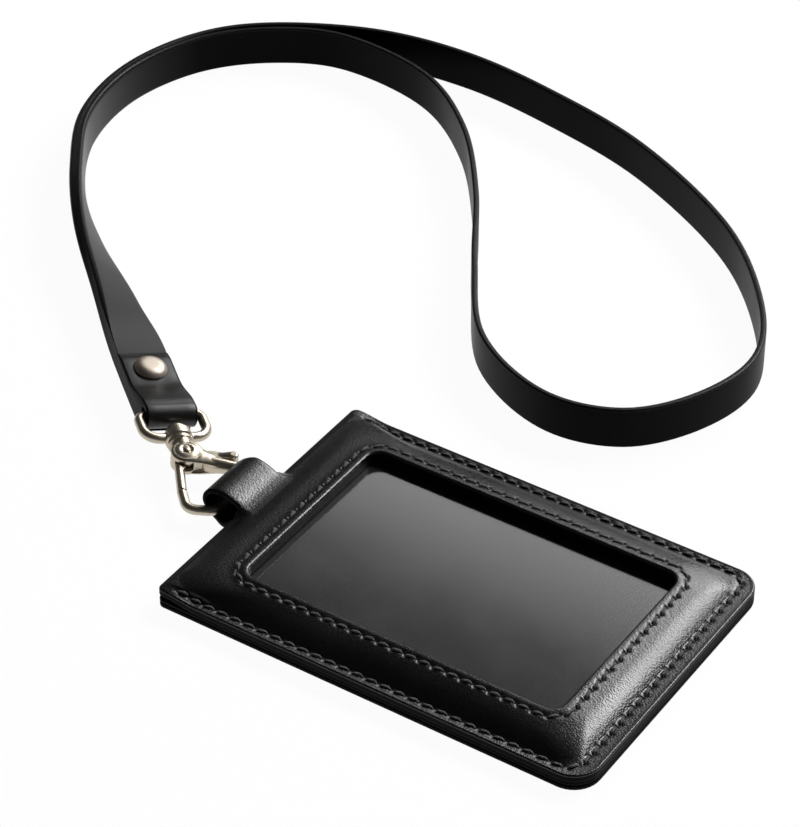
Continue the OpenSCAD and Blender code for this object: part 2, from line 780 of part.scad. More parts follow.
// Stitches: place and heading along straight runs and quarter turns
module stitch(x, y, turn, z) {
  ends = stitch_len / 2;
  crown = 0.7;
  translate([x, y, z]) rotate([0, 0, turn]) rotate([90, 0, 90])
    translate([0, 0, -ends])
      linear_extrude(height = stitch_len)
        polygon([[-stitch_w / 2, 0], [stitch_w / 2, 0], [stitch_w / 2 * crown, stitch_h * crown],
          [0, stitch_h], [-stitch_w / 2 * crown, stitch_h * crown]]);
}
function run_count(length) = max(floor((length - stitch_len) / stitch_pitch), 1);
module stitch_run(a, b, z) {
  n = run_count(norm(b - a));
  step = unit(b - a) * stitch_pitch;
  first = (a + b) / 2 - step * n / 2;
  for (i = [0 : n]) {
    p = first + step * i;
    stitch(p[0], p[1], heading(b - a), z);
  }
}
stitch_inset = rim_w - stitch_w / 2 - 0.35;
stitch_x = holder_w / 2 - stitch_inset;
stitch_low = -holder_h / 2 + stitch_inset;
stitch_turn = max(corner_r - stitch_inset, 1.5);
module edge_stitching() {
  color(thread_colour) {
    stitch_run([-stitch_x, side_end_y], [-stitch_x, stitch_low + stitch_turn], rim_z);
    stitch_run([-stitch_x + stitch_turn, stitch_low], [stitch_x - stitch_turn, stitch_low], rim_z);
    stitch_run([stitch_x, stitch_low + stitch_turn], [stitch_x, side_end_y], rim_z);
    for (side = [-1, 1]) {
      stitch(side * (stitch_x - stitch_turn * (1 - cos(45))),
        stitch_low + stitch_turn * (1 - cos(45)), side * 45, rim_z);
    }
  }
}
window_stitch_x = window_w / 2 + groove_out;
window_stitch_y = window_h / 2 + groove_out;
window_stitch_turn = window_r + groove_out;
module window_stitching() {
  x = window_stitch_x;
  y = window_stitch_y;
  r = window_stitch_turn;
  color(thread_colour) {
    stitch_run([-x, y - r], [-x, -y + r], groove_z);
    stitch_run([x, -y + r], [x, y - r], groove_z);
    stitch_run([-x + r, -y], [x - r, -y], groove_z);
    stitch_run([x - r, y], [-x + r, y], groove_z);
    for (sx = [-1, 1], sy = [-1, 1]) {
      stitch(sx * (x - r * (1 - cos(45))), sy * (y - r * (1 - cos(45))), -sx * sy * 45, groove_z);
    }
  }
}

neck_strap();
strap_fold();
rivet_cap();
rivet_post();
swivel_eye();
swivel_pin();
hook_body();
gate_lever();
gate_pin();
gate_spring();
front_cover();
foam_frame();
window_film();
pocket_lining();
back_panel();
edge_stitching();
window_stitching();
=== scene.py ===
import math

import bmesh
import bpy
import numpy as np
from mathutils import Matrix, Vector


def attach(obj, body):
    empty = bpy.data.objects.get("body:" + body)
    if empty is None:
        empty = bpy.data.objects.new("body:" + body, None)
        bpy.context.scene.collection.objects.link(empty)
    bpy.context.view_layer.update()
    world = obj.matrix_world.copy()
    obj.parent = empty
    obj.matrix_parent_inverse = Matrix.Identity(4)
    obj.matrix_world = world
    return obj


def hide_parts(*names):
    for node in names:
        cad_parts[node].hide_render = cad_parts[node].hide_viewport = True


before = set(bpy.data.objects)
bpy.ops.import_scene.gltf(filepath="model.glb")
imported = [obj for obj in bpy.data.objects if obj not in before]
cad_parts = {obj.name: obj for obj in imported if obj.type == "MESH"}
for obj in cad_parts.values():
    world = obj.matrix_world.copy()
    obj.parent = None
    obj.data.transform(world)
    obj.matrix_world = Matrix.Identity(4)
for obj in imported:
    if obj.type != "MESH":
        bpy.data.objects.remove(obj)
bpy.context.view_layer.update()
scene = bpy.context.scene
scene.view_settings.view_transform = "Standard"
MM = 0.001

# Camera at the photo's angle, places in millimetres
CAMERA_AT = Vector((-426.85, -268.19, 440.64))
LOOK_AT = Vector((43.494, 43.532, 0))
cam_data = bpy.data.cameras.new("camera")
cam_data.lens = 145.96
cam_data.sensor_width = 36
cam_data.clip_start = 0.01
cam_data.clip_end = 30
cam = bpy.data.objects.new("camera", cam_data)
scene.collection.objects.link(cam)
cam.location = CAMERA_AT * MM
cam_aim = LOOK_AT * MM - cam.location
cam.rotation_mode = "QUATERNION"
cam.rotation_quaternion = cam_aim.to_track_quat("-Z", "Y")
scene.camera = cam

# Sizes in millimetres, as in the part's source
HOLDER_W, HOLDER_H = 70.0, 99.0
CORNER_R, TOP_CORNER_R = 6.0, 1.5
BACK_T, LINING_T, POCKET_GAP, MOUTH_H, FILM_T = 1.2, 1.0, 1.5, 1.0, 0.3
WINDOW_W, WINDOW_H, WINDOW_R = 47.0, 73.0, 3.0
RIM_T, PAD_RISE, RIM_W, PAD_W = 1.6, 1.95, 2.6, 4.2
TAB_W, TAB_BACK, TAB_T = 13.4, 4.6, 1.2
PITCH, STITCH_LEN, STITCH_W = 3.2, 2.3, 0.7
WIRE_D, BAR_OUT, BAR_PLAY = 2.2, 5.7, 0.5
PIVOT_X, PIVOT_Y = 2.0, 14.2
NECK_END, SIDE_PLAY, HUB_LEN, EYE_REACH = 4.75, 0.15, 2.7, 7.4
STRAP_W, STRAP_T, FOLD_LEN, RIVET_AT, RIVET_D = 10.0, 1.4, 20.8, 15.0, 7.4
PLY_GAP, FOLD_PLAY = 0.15, 0.25
TOP_DROP, PAD_FOOT, PAD_BEND = 0.2, 0.45, 4.4

# Heights and insets worked out from them
LINING_Z = BACK_T + LINING_T
COVER_Z = LINING_Z + POCKET_GAP + FILM_T
RIM_Z = LINING_Z + RIM_T
TOP_UNDER_Z = LINING_Z + MOUTH_H
TOP_RIM_Z = TOP_UNDER_Z + RIM_T - TOP_DROP
PAD_Z = COVER_Z + PAD_RISE
PAD_IN_Z = COVER_Z + PAD_FOOT
PAD_INSET = RIM_W + PAD_W
PAD_CORNER_R = WINDOW_R + PAD_BEND
BAR_R = WIRE_D / 2
BAR_Y = HOLDER_H / 2 + BAR_OUT
BAR_Z = TAB_T + BAR_R + BAR_PLAY

# Directions of the clasp and the eye
CLASP_PITCH, AXIS_TURN, EYE_ROLL = map(math.radians, (6, 38, 8))
X_DIR = np.array([1.0, 0.0, 0.0])
CLASP_Y = np.array([0.0, math.cos(CLASP_PITCH), math.sin(CLASP_PITCH)])
CLASP_N = np.array([0.0, -math.sin(CLASP_PITCH), math.cos(CLASP_PITCH)])
AXIS_DIR = math.sin(AXIS_TURN) * X_DIR + math.cos(AXIS_TURN) * CLASP_Y
AXIS_SIDE = math.cos(AXIS_TURN) * X_DIR - math.sin(AXIS_TURN) * CLASP_Y
EYE_N = math.cos(EYE_ROLL) * CLASP_N + math.sin(EYE_ROLL) * AXIS_SIDE
EYE_X = math.cos(EYE_ROLL) * AXIS_SIDE - math.sin(EYE_ROLL) * CLASP_N
BAR_AT = np.array([0, BAR_Y, BAR_Z])
PIVOT = BAR_AT + PIVOT_X * X_DIR + PIVOT_Y * CLASP_Y
BAR_S = NECK_END + SIDE_PLAY + HUB_LEN / 2 + EYE_REACH

# Strap layers over the eye bar, along the eye's normal
INNER_N = BAR_R + FOLD_PLAY
STRAND_N = INNER_N + STRAP_T / 2
BACK_N = -INNER_N + PLY_GAP + STRAP_T / 2
PAIR_GAP = STRAP_T + PLY_GAP
UNDER_N = -INNER_N - STRAP_T - PAIR_GAP
CAP_BASE_N = BACK_N + STRAP_T / 2


def unit(v):
    v = np.asarray(v, float)
    return v / np.linalg.norm(v)


def mix(a, b, t):
    return a * (1 - t) + b * t


def smooth_step(x, low, high):
    t = np.clip((x - low) / (high - low), 0, 1)
    return t * t * (3 - 2 * t)


def run_of(points):
    """Distance along a line of points."""
    return np.concatenate([[0], np.cumsum(np.linalg.norm(np.diff(points, axis=0), axis=1))])


def full_turn(count):
    return np.linspace(0, 2 * math.pi, count, endpoint=False)


# Mesh helpers
def new_piece(name, verts_mm, faces, mats, body, nodes, face_mats=None, uvs=None, marks=None,
              normals=None):
    """A piece that rides on a body; face_mats picks each face's material, marks are point attributes."""
    mesh = bpy.data.meshes.new(name)
    mesh.from_pydata([tuple(float(c) * MM for c in v) for v in verts_mm], [], faces)
    mesh.validate()
    for m in mats:
        mesh.materials.append(m)
    if face_mats is not None:
        mesh.polygons.foreach_set("material_index", face_mats)
    if uvs is not None:
        layer = mesh.uv_layers.new(name="UVMap")
        for loop in mesh.loops:
            layer.data[loop.index].uv = uvs[loop.vertex_index]
    bm = bmesh.new()
    bm.from_mesh(mesh)
    bmesh.ops.recalc_face_normals(bm, faces=bm.faces)
    bm.to_mesh(mesh)
    bm.free()
    mesh.polygons.foreach_set("use_smooth", [len(p.vertices) <= 4 for p in mesh.polygons])
    for mark, values in (marks or {}).items():
        mesh.attributes.new(mark, "FLOAT", "POINT").data.foreach_set("value", values)
    mesh.update()
    if normals is not None:
        mesh.normals_split_custom_set_from_vertices(normals)
    obj = bpy.data.objects.new(name, mesh)
    scene.collection.objects.link(obj)
    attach(obj, body)
    if nodes:
        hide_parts(*nodes)
    return obj


def skin(rings, closed_along=False):
    """Faces of a tube through equal rings, with their ring and column."""
    count, sides = len(rings), len(rings[0])
    faces, spots = [], []
    for i in range(count if closed_along else count - 1):
        for j in range(sides):
            k = (j + 1) % sides
            n = (i + 1) % count
            faces.append((i * sides + j, i * sides + k, n * sides + k, n * sides + j))
            spots.append((i, j))
    if not closed_along:
        faces.append(tuple(range(sides)))
        faces.append(tuple((count - 1) * sides + j for j in range(sides)))
        spots += [(0, -1), (count - 2, -1)]
    return faces, spots


def points_of(rings):
    return [v for r in rings for v in r]


def edge_marks(spots, is_edge):
    """1 for the faces of a strip's edges and ends, 0 for its flat sides."""
    return [1 if j < 0 or is_edge[j] else 0 for _, j in spots]


UV_MM = 10


def ring_uvs(rings):
    rings = np.asarray(rings, float)
    around = run_of(rings[0])
    return [(b / UV_MM, a / UV_MM) for a in run_of(rings.mean(1)) for b in around]


def catmull(rows, steps):
    """Curve through the rows, with evenly many steps between them."""
    rows = np.asarray(rows, float)
    ext = np.vstack([2 * rows[0] - rows[1], rows, 2 * rows[-1] - rows[-2]])
    out = []
    for i in range(len(rows) - 1):
        a, b, c, d = ext[i : i + 4]
        for k in range(steps):
            t = k / steps
            out.append(
                0.5
                * (2 * b + (c - a) * t + (2 * a - 5 * b + 4 * c - d) * t**2 + (3 * b - a - 3 * c + d) * t**3)
            )
    out.append(rows[-1])
    return np.array(out)


TINY = 1e-6


def gentle(rows, steps):
    """Smooth curve through outline rows that never swings past them, spaced by their width and height."""
    rows = np.asarray(rows, float)
    h = np.linalg.norm(np.diff(rows[:, [0, 5]], axis=0), axis=1)[:, None] + TINY
    slope = np.diff(rows, axis=0) / h
    tang = np.zeros_like(rows)
    for i in range(1, len(rows) - 1):
        a, b = slope[i - 1], slope[i]
        w1, w2 = 2 * h[i] + h[i - 1], h[i] + 2 * h[i - 1]
        same = a * b > 0
        with np.errstate(divide="ignore", invalid="ignore"):
            tang[i] = np.where(same, (w1 + w2) / (w1 / a + w2 / b), 0)
    tang[0], tang[-1] = slope[0], slope[-1]
    out = []
    for i in range(len(rows) - 1):
        for k in range(steps):
            t = k / steps
            out.append(
                (2 * t**3 - 3 * t**2 + 1) * rows[i]
                + (t**3 - 2 * t**2 + t) * h[i] * tang[i]
                + (3 * t**2 - 2 * t**3) * rows[i + 1]
                + (t**3 - t**2) * h[i] * tang[i + 1]
            )
    out.append(rows[-1])
    return np.array(out)


def strip_section(half_w, half_t, edge, face_steps=6, edge_steps=4):
    """Section of a flat strip with round edges, and which of its sides are edge."""
    pts, is_edge = [], []
    for sign in (1, -1):
        for k in range(face_steps):
            pts.append((sign * mix(half_w - edge, -half_w + edge, k / face_steps), sign * half_t))
            is_edge.append(False)
        for k in range(edge_steps * 2):
            a = math.pi / 2 * k / edge_steps
            flat = half_t - edge if edge < half_t else 0.0
            drop = flat if k < edge_steps else -flat
            pts.append(
                (
                    sign * (-half_w + edge - edge * math.sin(a)),
                    sign * (drop + min(edge, half_t) * math.cos(a)),
                )
            )
            is_edge.append(k >= 1)
    return pts, is_edge


# Node helper for materials
class Maker:
    def __init__(self, name):
        self.mat = bpy.data.materials.new(name)
        self.mat.use_nodes = True
        self.tree = self.mat.node_tree
        self.tree.nodes.clear()
        self.out = self.tree.nodes.new("ShaderNodeOutputMaterial")
        self.bsdf = self.tree.nodes.new("ShaderNodeBsdfPrincipled")
        self.tree.links.new(self.bsdf.outputs[0], self.out.inputs[0])
        self.where = self.add("ShaderNodeTexCoord").outputs["Object"]

    def add(self, kind, **settings):
        n = self.tree.nodes.new(kind)
        for k, v in settings.items():
            setattr(n, k, v)
        return n

    def link(self, a, b):
        self.tree.links.new(a, b)

    def put(self, socket, value):
        if hasattr(value, "is_output"):
            self.link(value, socket)
        else:
            socket.default_value = value

    def set(self, **values):
        for k, v in values.items():
            self.put(self.bsdf.inputs[k.replace("_", " ")], v)

    def mark(self, name):
        return self.add("ShaderNodeAttribute", attribute_name=name).outputs["Fac"]

    def set_shine(self, shine):
        """A plain level, or a change along the strap: from station, to station, first level, last level."""
        if isinstance(shine, tuple):
            shine = self.span(self.mark("station"), *shine)
        self.set(Specular_IOR_Level=shine)

    def noise(self, scale, detail, rough=0.55, stretch=None):
        n = self.add("ShaderNodeTexNoise")
        n.inputs["Scale"].default_value = scale
        n.inputs["Detail"].default_value = detail
        n.inputs["Roughness"].default_value = rough
        self.link(self.stretched(stretch), n.inputs["Vector"])
        return n.outputs["Fac"]

    def stretched(self, stretch):
        if stretch is None:
            return self.where
        m = self.add("ShaderNodeMapping")
        m.inputs["Scale"].default_value = stretch
        self.link(self.where, m.inputs["Vector"])
        return m.outputs["Vector"]

    def cells(self, scale, smooth):
        n = self.add("ShaderNodeTexVoronoi", feature="SMOOTH_F1")
        n.inputs["Scale"].default_value = scale
        n.inputs["Smoothness"].default_value = smooth
        self.link(self.where, n.inputs["Vector"])
        return n.outputs["Distance"]

    def ramp(self, fac, *stops):
        n = self.add("ShaderNodeValToRGB")
        while len(n.color_ramp.elements) < len(stops):
            n.color_ramp.elements.new(0.5)
        for e, (pos, col) in zip(n.color_ramp.elements, stops):
            e.position = pos
            e.color = (col, col, col, 1) if isinstance(col, (int, float)) else (*col, 1)
        self.link(fac, n.inputs[0])
        return n.outputs[0]

    def span(self, fac, low, high, out_low, out_high):
        n = self.add("ShaderNodeMapRange")
        for i, v in enumerate((low, high, out_low, out_high)):
            n.inputs[i + 1].default_value = v
        self.link(fac, n.inputs[0])
        return n.outputs[0]

    def math(self, op, a, b):
        n = self.add("ShaderNodeMath", operation=op)
        self.put(n.inputs[0], a)
        self.put(n.inputs[1], b)
        return n.outputs[0]

    def bump(self, height, depth):
        """Relief of the given depth in millimetres."""
        n = self.add("ShaderNodeBump")
        n.inputs["Strength"].default_value = 1.0
        n.inputs["Distance"].default_value = depth * MM
        self.link(height, n.inputs["Height"])
        return n.outputs["Normal"]


PER_METRE = 1000


def leather(name, dark, light, rough, pebble, depth, fine=0.5, shine=0.5):
    """Black leather: pebbles of the given size in millimetres, pores, slow colour change, painted shade in
    the stitch dimples.
    """
    m = Maker(name)
    cells = m.cells(PER_METRE / pebble, 0.35)
    small = m.noise(PER_METRE / pebble * 2.2, 4, 0.6)
    slow = m.noise(55, 3)
    height = m.math("ADD", m.span(cells, 0.05, 0.75, 1.0, 0.0), m.math("MULTIPLY", small, fine))
    # Painted shade: the colour goes near black in the stitch dimples, where shade would fall.
    hole_shade = m.mark("hole_shade")
    tone = m.math("ADD", m.math("MULTIPLY", slow, 0.6), m.math("MULTIPLY", height, 0.25))
    m.set(Base_Color=m.ramp(m.math("SUBTRACT", tone, hole_shade), (0.0, 0.0005), (0.25, dark), (0.85, light)))
    worn = m.math("ADD", slow, m.math("MULTIPLY", small, 0.5))
    satin = m.span(worn, 0.4, 1.1, rough - 0.07, rough + 0.09)
    m.set(Roughness=m.math("ADD", satin, m.math("MULTIPLY", hole_shade, 0.5)))
    m.set(Normal=m.bump(height, depth))
    m.set_shine(shine)
    return m.mat


COVER = leather("cover_leather", 0.002, (0.006, 0.006, 0.0062), rough=0.28, pebble=0.42, depth=0.028,
                fine=0.6, shine=0.46)
STRAP_LOOK = dict(dark=0.0015, light=(0.004, 0.004, 0.0041), rough=0.37, pebble=0.35, depth=0.01, fine=0.9)
STRAP = leather("strap_leather", shine=(5.2, 7.0, 0.23, 0.035), **STRAP_LOOK)
FOLD = leather("fold_leather", shine=0.38, **STRAP_LOOK)
BACK = leather("back_leather", (0.006, 0.006, 0.0062), (0.014, 0.014, 0.0142), rough=0.52, pebble=0.6,
               depth=0.06)


def edge_paint(name, dark, light, rough, shine):
    m = Maker(name)
    fibres = m.noise(900, 5, 0.65, (1, 1, 3))
    m.set(Base_Color=m.ramp(fibres, (0.3, dark), (0.75, light)))
    m.set(Roughness=m.span(fibres, 0.3, 0.8, rough - 0.08, rough + 0.1))
    m.set(Normal=m.bump(fibres, 0.04))
    m.set_shine(shine)
    return m.mat


STRAP_EDGE = edge_paint("strap_edge", dark=0.002, light=0.006, rough=0.42, shine=(1.8, 3.2, 0.03, 0.14))
SIDE = edge_paint("side_layers", dark=0.002, light=0.006, rough=0.5, shine=0.03)


def metal(name, colour, rough):
    m = Maker(name)
    fine = m.noise(2500, 4, 0.6)
    cloud = m.noise(160, 3)
    low = tuple(c * 0.86 for c in colour)
    m.set(Base_Color=m.ramp(cloud, (0.3, low), (0.75, colour)))
    m.set(Metallic=1.0)
    satin = m.math("ADD", m.math("MULTIPLY", fine, 0.5), cloud)
    m.set(Roughness=m.span(satin, 0.4, 1.1, rough - 0.05, rough + 0.07))
    m.set(Normal=m.bump(fine, 0.006))
    return m.mat


NICKEL = metal("satin_nickel", (0.55, 0.49, 0.395), 0.32)
RIVET = metal("rivet_nickel", (0.37, 0.325, 0.275), 0.48)
STEEL = metal("spring_steel", (0.6, 0.6, 0.61), 0.3)


def thread():
    m = Maker("thread")
    uv = m.add("ShaderNodeUVMap")
    wave = m.add("ShaderNodeTexWave", wave_type="BANDS", bands_direction="DIAGONAL")
    wave.inputs["Scale"].default_value = 6
    wave.inputs["Distortion"].default_value = 0.6
    m.link(uv.outputs[0], wave.inputs["Vector"])
    fuzz = m.noise(6000, 3)
    twist = m.math("ADD", m.math("MULTIPLY", wave.outputs["Fac"], 0.8), m.math("MULTIPLY", fuzz, 0.4))
    m.set(Base_Color=m.ramp(twist, (0.2, 0.022), (0.9, 0.1)))
    m.set(Roughness=m.span(fuzz, 0.3, 0.7, 0.62, 0.8))
    m.set(Normal=m.bump(twist, 0.06))
    m.set(Specular_IOR_Level=0.35)
    m.set(Sheen_Weight=0.1)
    return m.mat


THREAD = thread()


def film():
    m = Maker("window_film")
    haze = m.noise(90, 3)
    ripple = m.noise(35, 2)
    m.set(Base_Color=m.ramp(haze, (0.3, 0.012), (0.8, 0.016)))
    m.set(Roughness=m.span(haze, 0.3, 0.7, 0.12, 0.14))
    m.set(Normal=m.bump(ripple, 0.002))
    m.set(Specular_IOR_Level=0.75)
    m.set(IOR=1.8)
    return m.mat


FILM = film()
LINING = leather("lining", (0.006, 0.006, 0.0065), (0.014, 0.014, 0.015), rough=0.5, pebble=0.3, depth=0.02)


# Neck strap on the route of the part's source: x, y from the bar, lift, tilt and gap of the doubled lead
PAIR_ROUTE = [
    (39.5, 62, 0.1, 34, 1.6), (54, 80, 0.3, 64, 1.6), (70, 95.5, 0.2, 88, 1.6), (89, 107.5, 0.1, 90, 1.6),
    (110, 111, 0.1, 90, 1.6), (130, 105.5, 0.1, 90, 1.7), (144, 93, 0.1, 90, 2.2),
]
# Open loop after it, on edge: x, y from the bar
LOOP_ROUTE = [
    (150.5, 75), (147, 50), (133, 30), (112, 13), (88, -2), (66, -18), (56, -39), (60, -57), (75, -68),
    (93, -70.5), (112, -60.5), (132, -40.5), (149, -9), (157, 21), (160, 47), (156.5, 71),
]
LOOP_LIFT = 0.1
STRAP_STEPS = 10

# Strap forms of the scene: edge radii, the lead's closed seam, the fold's thin end, more width and height
EDGE_R, LEAD_EDGE_R, FLUSH_EDGE_R = 0.5, 1.0, 0.12
PLY_SEAM, FOLD_SEAM, HAIR = 0.008, 0.02, 0.01
SKIVE, LEAD_RISE, LEAD_WIDER, FOLD_WIDER = 0.35, 0.85, 0.1, 0.13

# Stations on the lead where those forms change; JOIN_ENDS counts back from the lead's end
ROUND_FROM, ROUND_TO = 1.1, 1.9
WIDE_TO, RISE_TO = 2.4, 1.8
JOIN_ENDS = 2.2, 0.4


def flat_right(t):
    return unit([t[1], -t[0], 0])


def face_n(t, tilt):
    return math.cos(tilt) * np.cross(flat_right(t), t) + math.sin(tilt) * flat_right(t)


def edge_w(t, tilt):
    return math.sin(tilt) * np.cross(flat_right(t), t) - math.cos(tilt) * flat_right(t)


def on_axis(s, n, x=0.0):
    return PIVOT + s * AXIS_DIR + n * EYE_N + x * EYE_X


def strap_stations():
    pair_n = (-STRAND_N + UNDER_N + STRAP_T / 2) / 2
    right = flat_right(AXIS_DIR)
    start = math.degrees(math.atan2(EYE_N @ right, EYE_N @ np.cross(right, AXIS_DIR)))
    pair = [(*on_axis(s, pair_n), start, PAIR_GAP) for s in (BAR_S, BAR_S + FOLD_LEN + 1)]
    pair += [(x, BAR_Y + y, STRAP_W / 2 + lift, tilt, gap) for x, y, lift, tilt, gap in PAIR_ROUTE]
    pair = np.array(pair, float)
    last = len(pair) - 1

    def strand(i, side):
        way = AXIS_DIR if i == 0 else unit(pair[min(i + 1, last), :3] - pair[i - 1, :3])
        tilt = pair[i, 3]
        spot = pair[i, :3] + side * pair[i, 4] / 2 * face_n(way, math.radians(tilt))
        return [*spot, tilt if side > 0 else 180 - tilt]

    rows = [strand(i, 1) for i in range(last + 1)]
    rows += [[x, BAR_Y + y, STRAP_W / 2 + LOOP_LIFT, 90] for x, y in LOOP_ROUTE]
    rows += [strand(i, -1) for i in range(last, -1, -1)]
    return rows


def make_strap():
    """The strap in two pieces: the doubled lead from the eye, and the open loop after it."""
    curve = catmull(strap_stations(), STRAP_STEPS)
    pts = curve[:, :3]
    ways = np.gradient(pts, axis=0)
    ways[0], ways[-1] = AXIS_DIR, -AXIS_DIR
    half_w, half_t = STRAP_W / 2, STRAP_T / 2
    _, is_edge = strip_section(half_w, half_t, EDGE_R)
    single, double, flush = (
        np.array(strip_section(half_w, half_t, r)[0]) for r in (EDGE_R, LEAD_EDGE_R, FLUSH_EDGE_R)
    )
    inner = single[:, 1] < -HAIR
    inner_edge = inner & (np.abs(single[:, 0]) > half_w - (EDGE_R - HAIR))
    split = (len(PAIR_ROUTE) + 1) * STRAP_STEPS
    last = len(pts) - 1
    back = last - split
    join_from, join_to = (split - stations * STRAP_STEPS for stations in JOIN_ENDS)
    rings, normals, frames = [], [], []
    for i, (p, w, tilt) in enumerate(zip(pts, ways, np.radians(curve[:, 3]))):
        w = unit(w)
        e, f = edge_w(w, tilt), face_n(w, tilt)
        frames.append(np.concatenate([p, e, f]))
        near = min(i, last - i)
        join = float(1 - smooth_step(near, join_from, join_to))
        half_gap = np.linalg.norm(pts[last - i] - p) / 2 - PLY_SEAM
        rounded = smooth_step(near, ROUND_FROM * STRAP_STEPS, ROUND_TO * STRAP_STEPS)
        s = mix(flush, mix(single, double, join), rounded)
        n = np.roll(s, 1, 0) - np.roll(s, -1, 0)
        n = np.stack([-n[:, 1], n[:, 0]], 1) / np.linalg.norm(n, axis=1)[:, None]
        s[inner, 1] *= mix(1.0, half_gap / half_t, join)
        outward = np.sign(s[inner_edge, 0])
        s[inner_edge, 0] = mix(s[inner_edge, 0], outward * half_w, join)
        n[inner_edge] = mix(n[inner_edge], np.stack([outward, 0 * outward], 1), join)
        s[:, 0] *= 1 + LEAD_WIDER * (1 - float(smooth_step(near, STRAP_STEPS, WIDE_TO * STRAP_STEPS)))
        if STRAP_STEPS <= i < 2 * STRAP_STEPS:
            s[s[:, 1] > 0, 1] += LEAD_RISE * (1 - float(smooth_step(i, STRAP_STEPS, RISE_TO * STRAP_STEPS)))
        rings.append([p + a * e + b * f for a, b in s])
        normals.append([unit(a * e + b * f) for a, b in n])
    uvs = ring_uvs(rings)
    sides = len(single)

    def piece(name, runs):
        verts, faces, face_mats, where, turn, station = [], [], [], [], [], []
        for a, b in runs:
            base = len(verts)
            part_faces, spots = skin(rings[a : b + 1])
            faces += [tuple(base + i for i in f) for f in part_faces]
            face_mats += edge_marks(spots, is_edge)
            verts += points_of(rings[a : b + 1])
            where += uvs[a * sides : (b + 1) * sides]
            turn += [tuple(n) for n in points_of(normals[a : b + 1])]
            station += [min(i, last - i) / STRAP_STEPS for i in range(a, b + 1) for _ in range(sides)]
        return new_piece(name, verts, faces, [STRAP, STRAP_EDGE], "strap", ["neck_strap"],
                         face_mats, where, {"station": station}, turn)

    lead = piece("strap_lead", [(0, split), (back, last)])
    loop = piece("strap_loop", [(split, back)])
    middle = (pts[: split + 1] + pts[::-1][: split + 1]) / 2
    return lead, middle, loop, pts[split : back + 1], np.array(frames[: 2 * STRAP_STEPS])


# Fold around the eye bar: turn in degrees, then its way down onto the lead as reach and height
FOLD_TURN, FOLD_TURN_STEPS, FOLD_STEPS = (-90, -283.5), 27, 8
FOLD_DOWN = [
    (2.2, STRAND_N - 0.22), (4.0, STRAND_N - 0.68), (5.8, STRAND_N - 1.3), (7.6, BACK_N + 0.66),
    (9.4, BACK_N + 0.22), (11.2, BACK_N + 0.03), (13.0, BACK_N), (FOLD_LEN - 2, BACK_N), (FOLD_LEN, BACK_N),
]
WEDGE_FROM, WEDGE_TO, SKIVE_LEAD = 1.5, 2.3, 0.5


def make_fold(bed):
    """Fold around the eye bar; past the bar it follows the strap that it lies on."""
    run = run_of(bed[:, :3])

    def spot(s, n, a):
        if s < 0:
            return on_axis(BAR_S + s, n, a)
        at = np.array([np.interp(s, run, bed[:, c]) for c in range(9)])
        return at[:3] - a * at[3:6] + (n + STRAND_N) * at[6:]

    turn = np.radians(np.linspace(*FOLD_TURN, FOLD_TURN_STEPS))
    arc = [(STRAND_N * math.cos(a), STRAND_N * math.sin(a)) for a in turn]
    line = np.vstack([arc[:-1], catmull([arc[-1], *FOLD_DOWN], FOLD_STEPS)])
    ways = np.gradient(line, axis=0)
    ways[0], ways[-1] = (-1, 0), (1, 0)
    half = STRAP_T / 2
    wide = STRAP_W / 2 * (1 + FOLD_WIDER)
    section, is_edge = strip_section(wide, half, EDGE_R)
    flush, _ = strip_section(wide, half, FLUSH_EDGE_R)
    skive_from = RIVET_AT + RIVET_D / 2 - SKIVE_LEAD
    rings = []
    for i, (p, w) in enumerate(zip(line, ways)):
        w = unit(w)
        past = i > len(arc)
        thin = 1 - SKIVE * float(smooth_step(p[0], skive_from, FOLD_LEN)) if past else 1
        room = (p[1] + INNER_N - FOLD_SEAM) / half
        onto = float(smooth_step(p[0], WEDGE_FROM, WEDGE_TO)) if past else 0
        fill = mix(1, max(room, 1), onto)
        ring = []
        for (a, b), (a_flush, b_flush) in zip(section, flush):
            if b < 0:
                a, b = mix(a, a_flush, onto), mix(b, b_flush, onto) * fill
            b = (b + half) * thin - half if thin < 1 else b
            ring.append(spot(p[0] - w[1] * b, p[1] + w[0] * b, a))
        rings.append(ring)
    faces, spots = skin(rings)
    return new_piece("strap_fold_over", points_of(rings), faces, [FOLD, STRAP_EDGE], "strap", ["strap_fold"],
                     edge_marks(spots, is_edge), ring_uvs(rings))


lead, lead_path, loop, loop_path, fold_bed = make_strap()
fold = make_fold(fold_bed)


# Turned pieces around a direction
def turn_rings(profile, base, axis, side, sides=96):
    other = np.cross(axis, side)
    return [
        [base + h * axis + r * (math.cos(a) * side + math.sin(a) * other) for a in full_turn(sides)]
        for r, h in profile
    ]


def turned(name, profile, base, axis, side, mats, body, nodes):
    rings = turn_rings(profile, base, axis, side)
    faces, _ = skin(rings)
    return new_piece(name, points_of(rings), faces, mats, body, nodes, uvs=ring_uvs(rings))


# Rivet: a flat dome on a rolled rim, and a hollow post with its foot; profiles are radius and height
CAP_R, CAP_H, CAP_RIM_H, DOME_POWER = RIVET_D / 2, 1.65, 0.42, 5
CAP_PROFILE = [
    (CAP_R - 0.25, 0.0), (CAP_R - 0.06, 0.06), (CAP_R, 0.2), (CAP_R - 0.02, 0.36),
    *[((CAP_R - 0.05) * f, CAP_RIM_H + (CAP_H - CAP_RIM_H) * (1 - f**DOME_POWER))
      for f in np.linspace(0.985, 0.03, 26)],
]
POST_R, POST_IN_CAP, FOOT_R = 1.2, 0.8, (RIVET_D - 1) / 2
FOOT_PROFILE = [
    (POST_R, CAP_BASE_N - UNDER_N + POST_IN_CAP), (POST_R, 0.0), (FOOT_R - 0.1, 0.0), (FOOT_R, -0.12),
    (FOOT_R, -0.45), (FOOT_R - 0.08, -0.6), (FOOT_R - 0.3, -0.7), (1.0, -0.72), (0.7, -0.55), (0.2, -0.5),
]
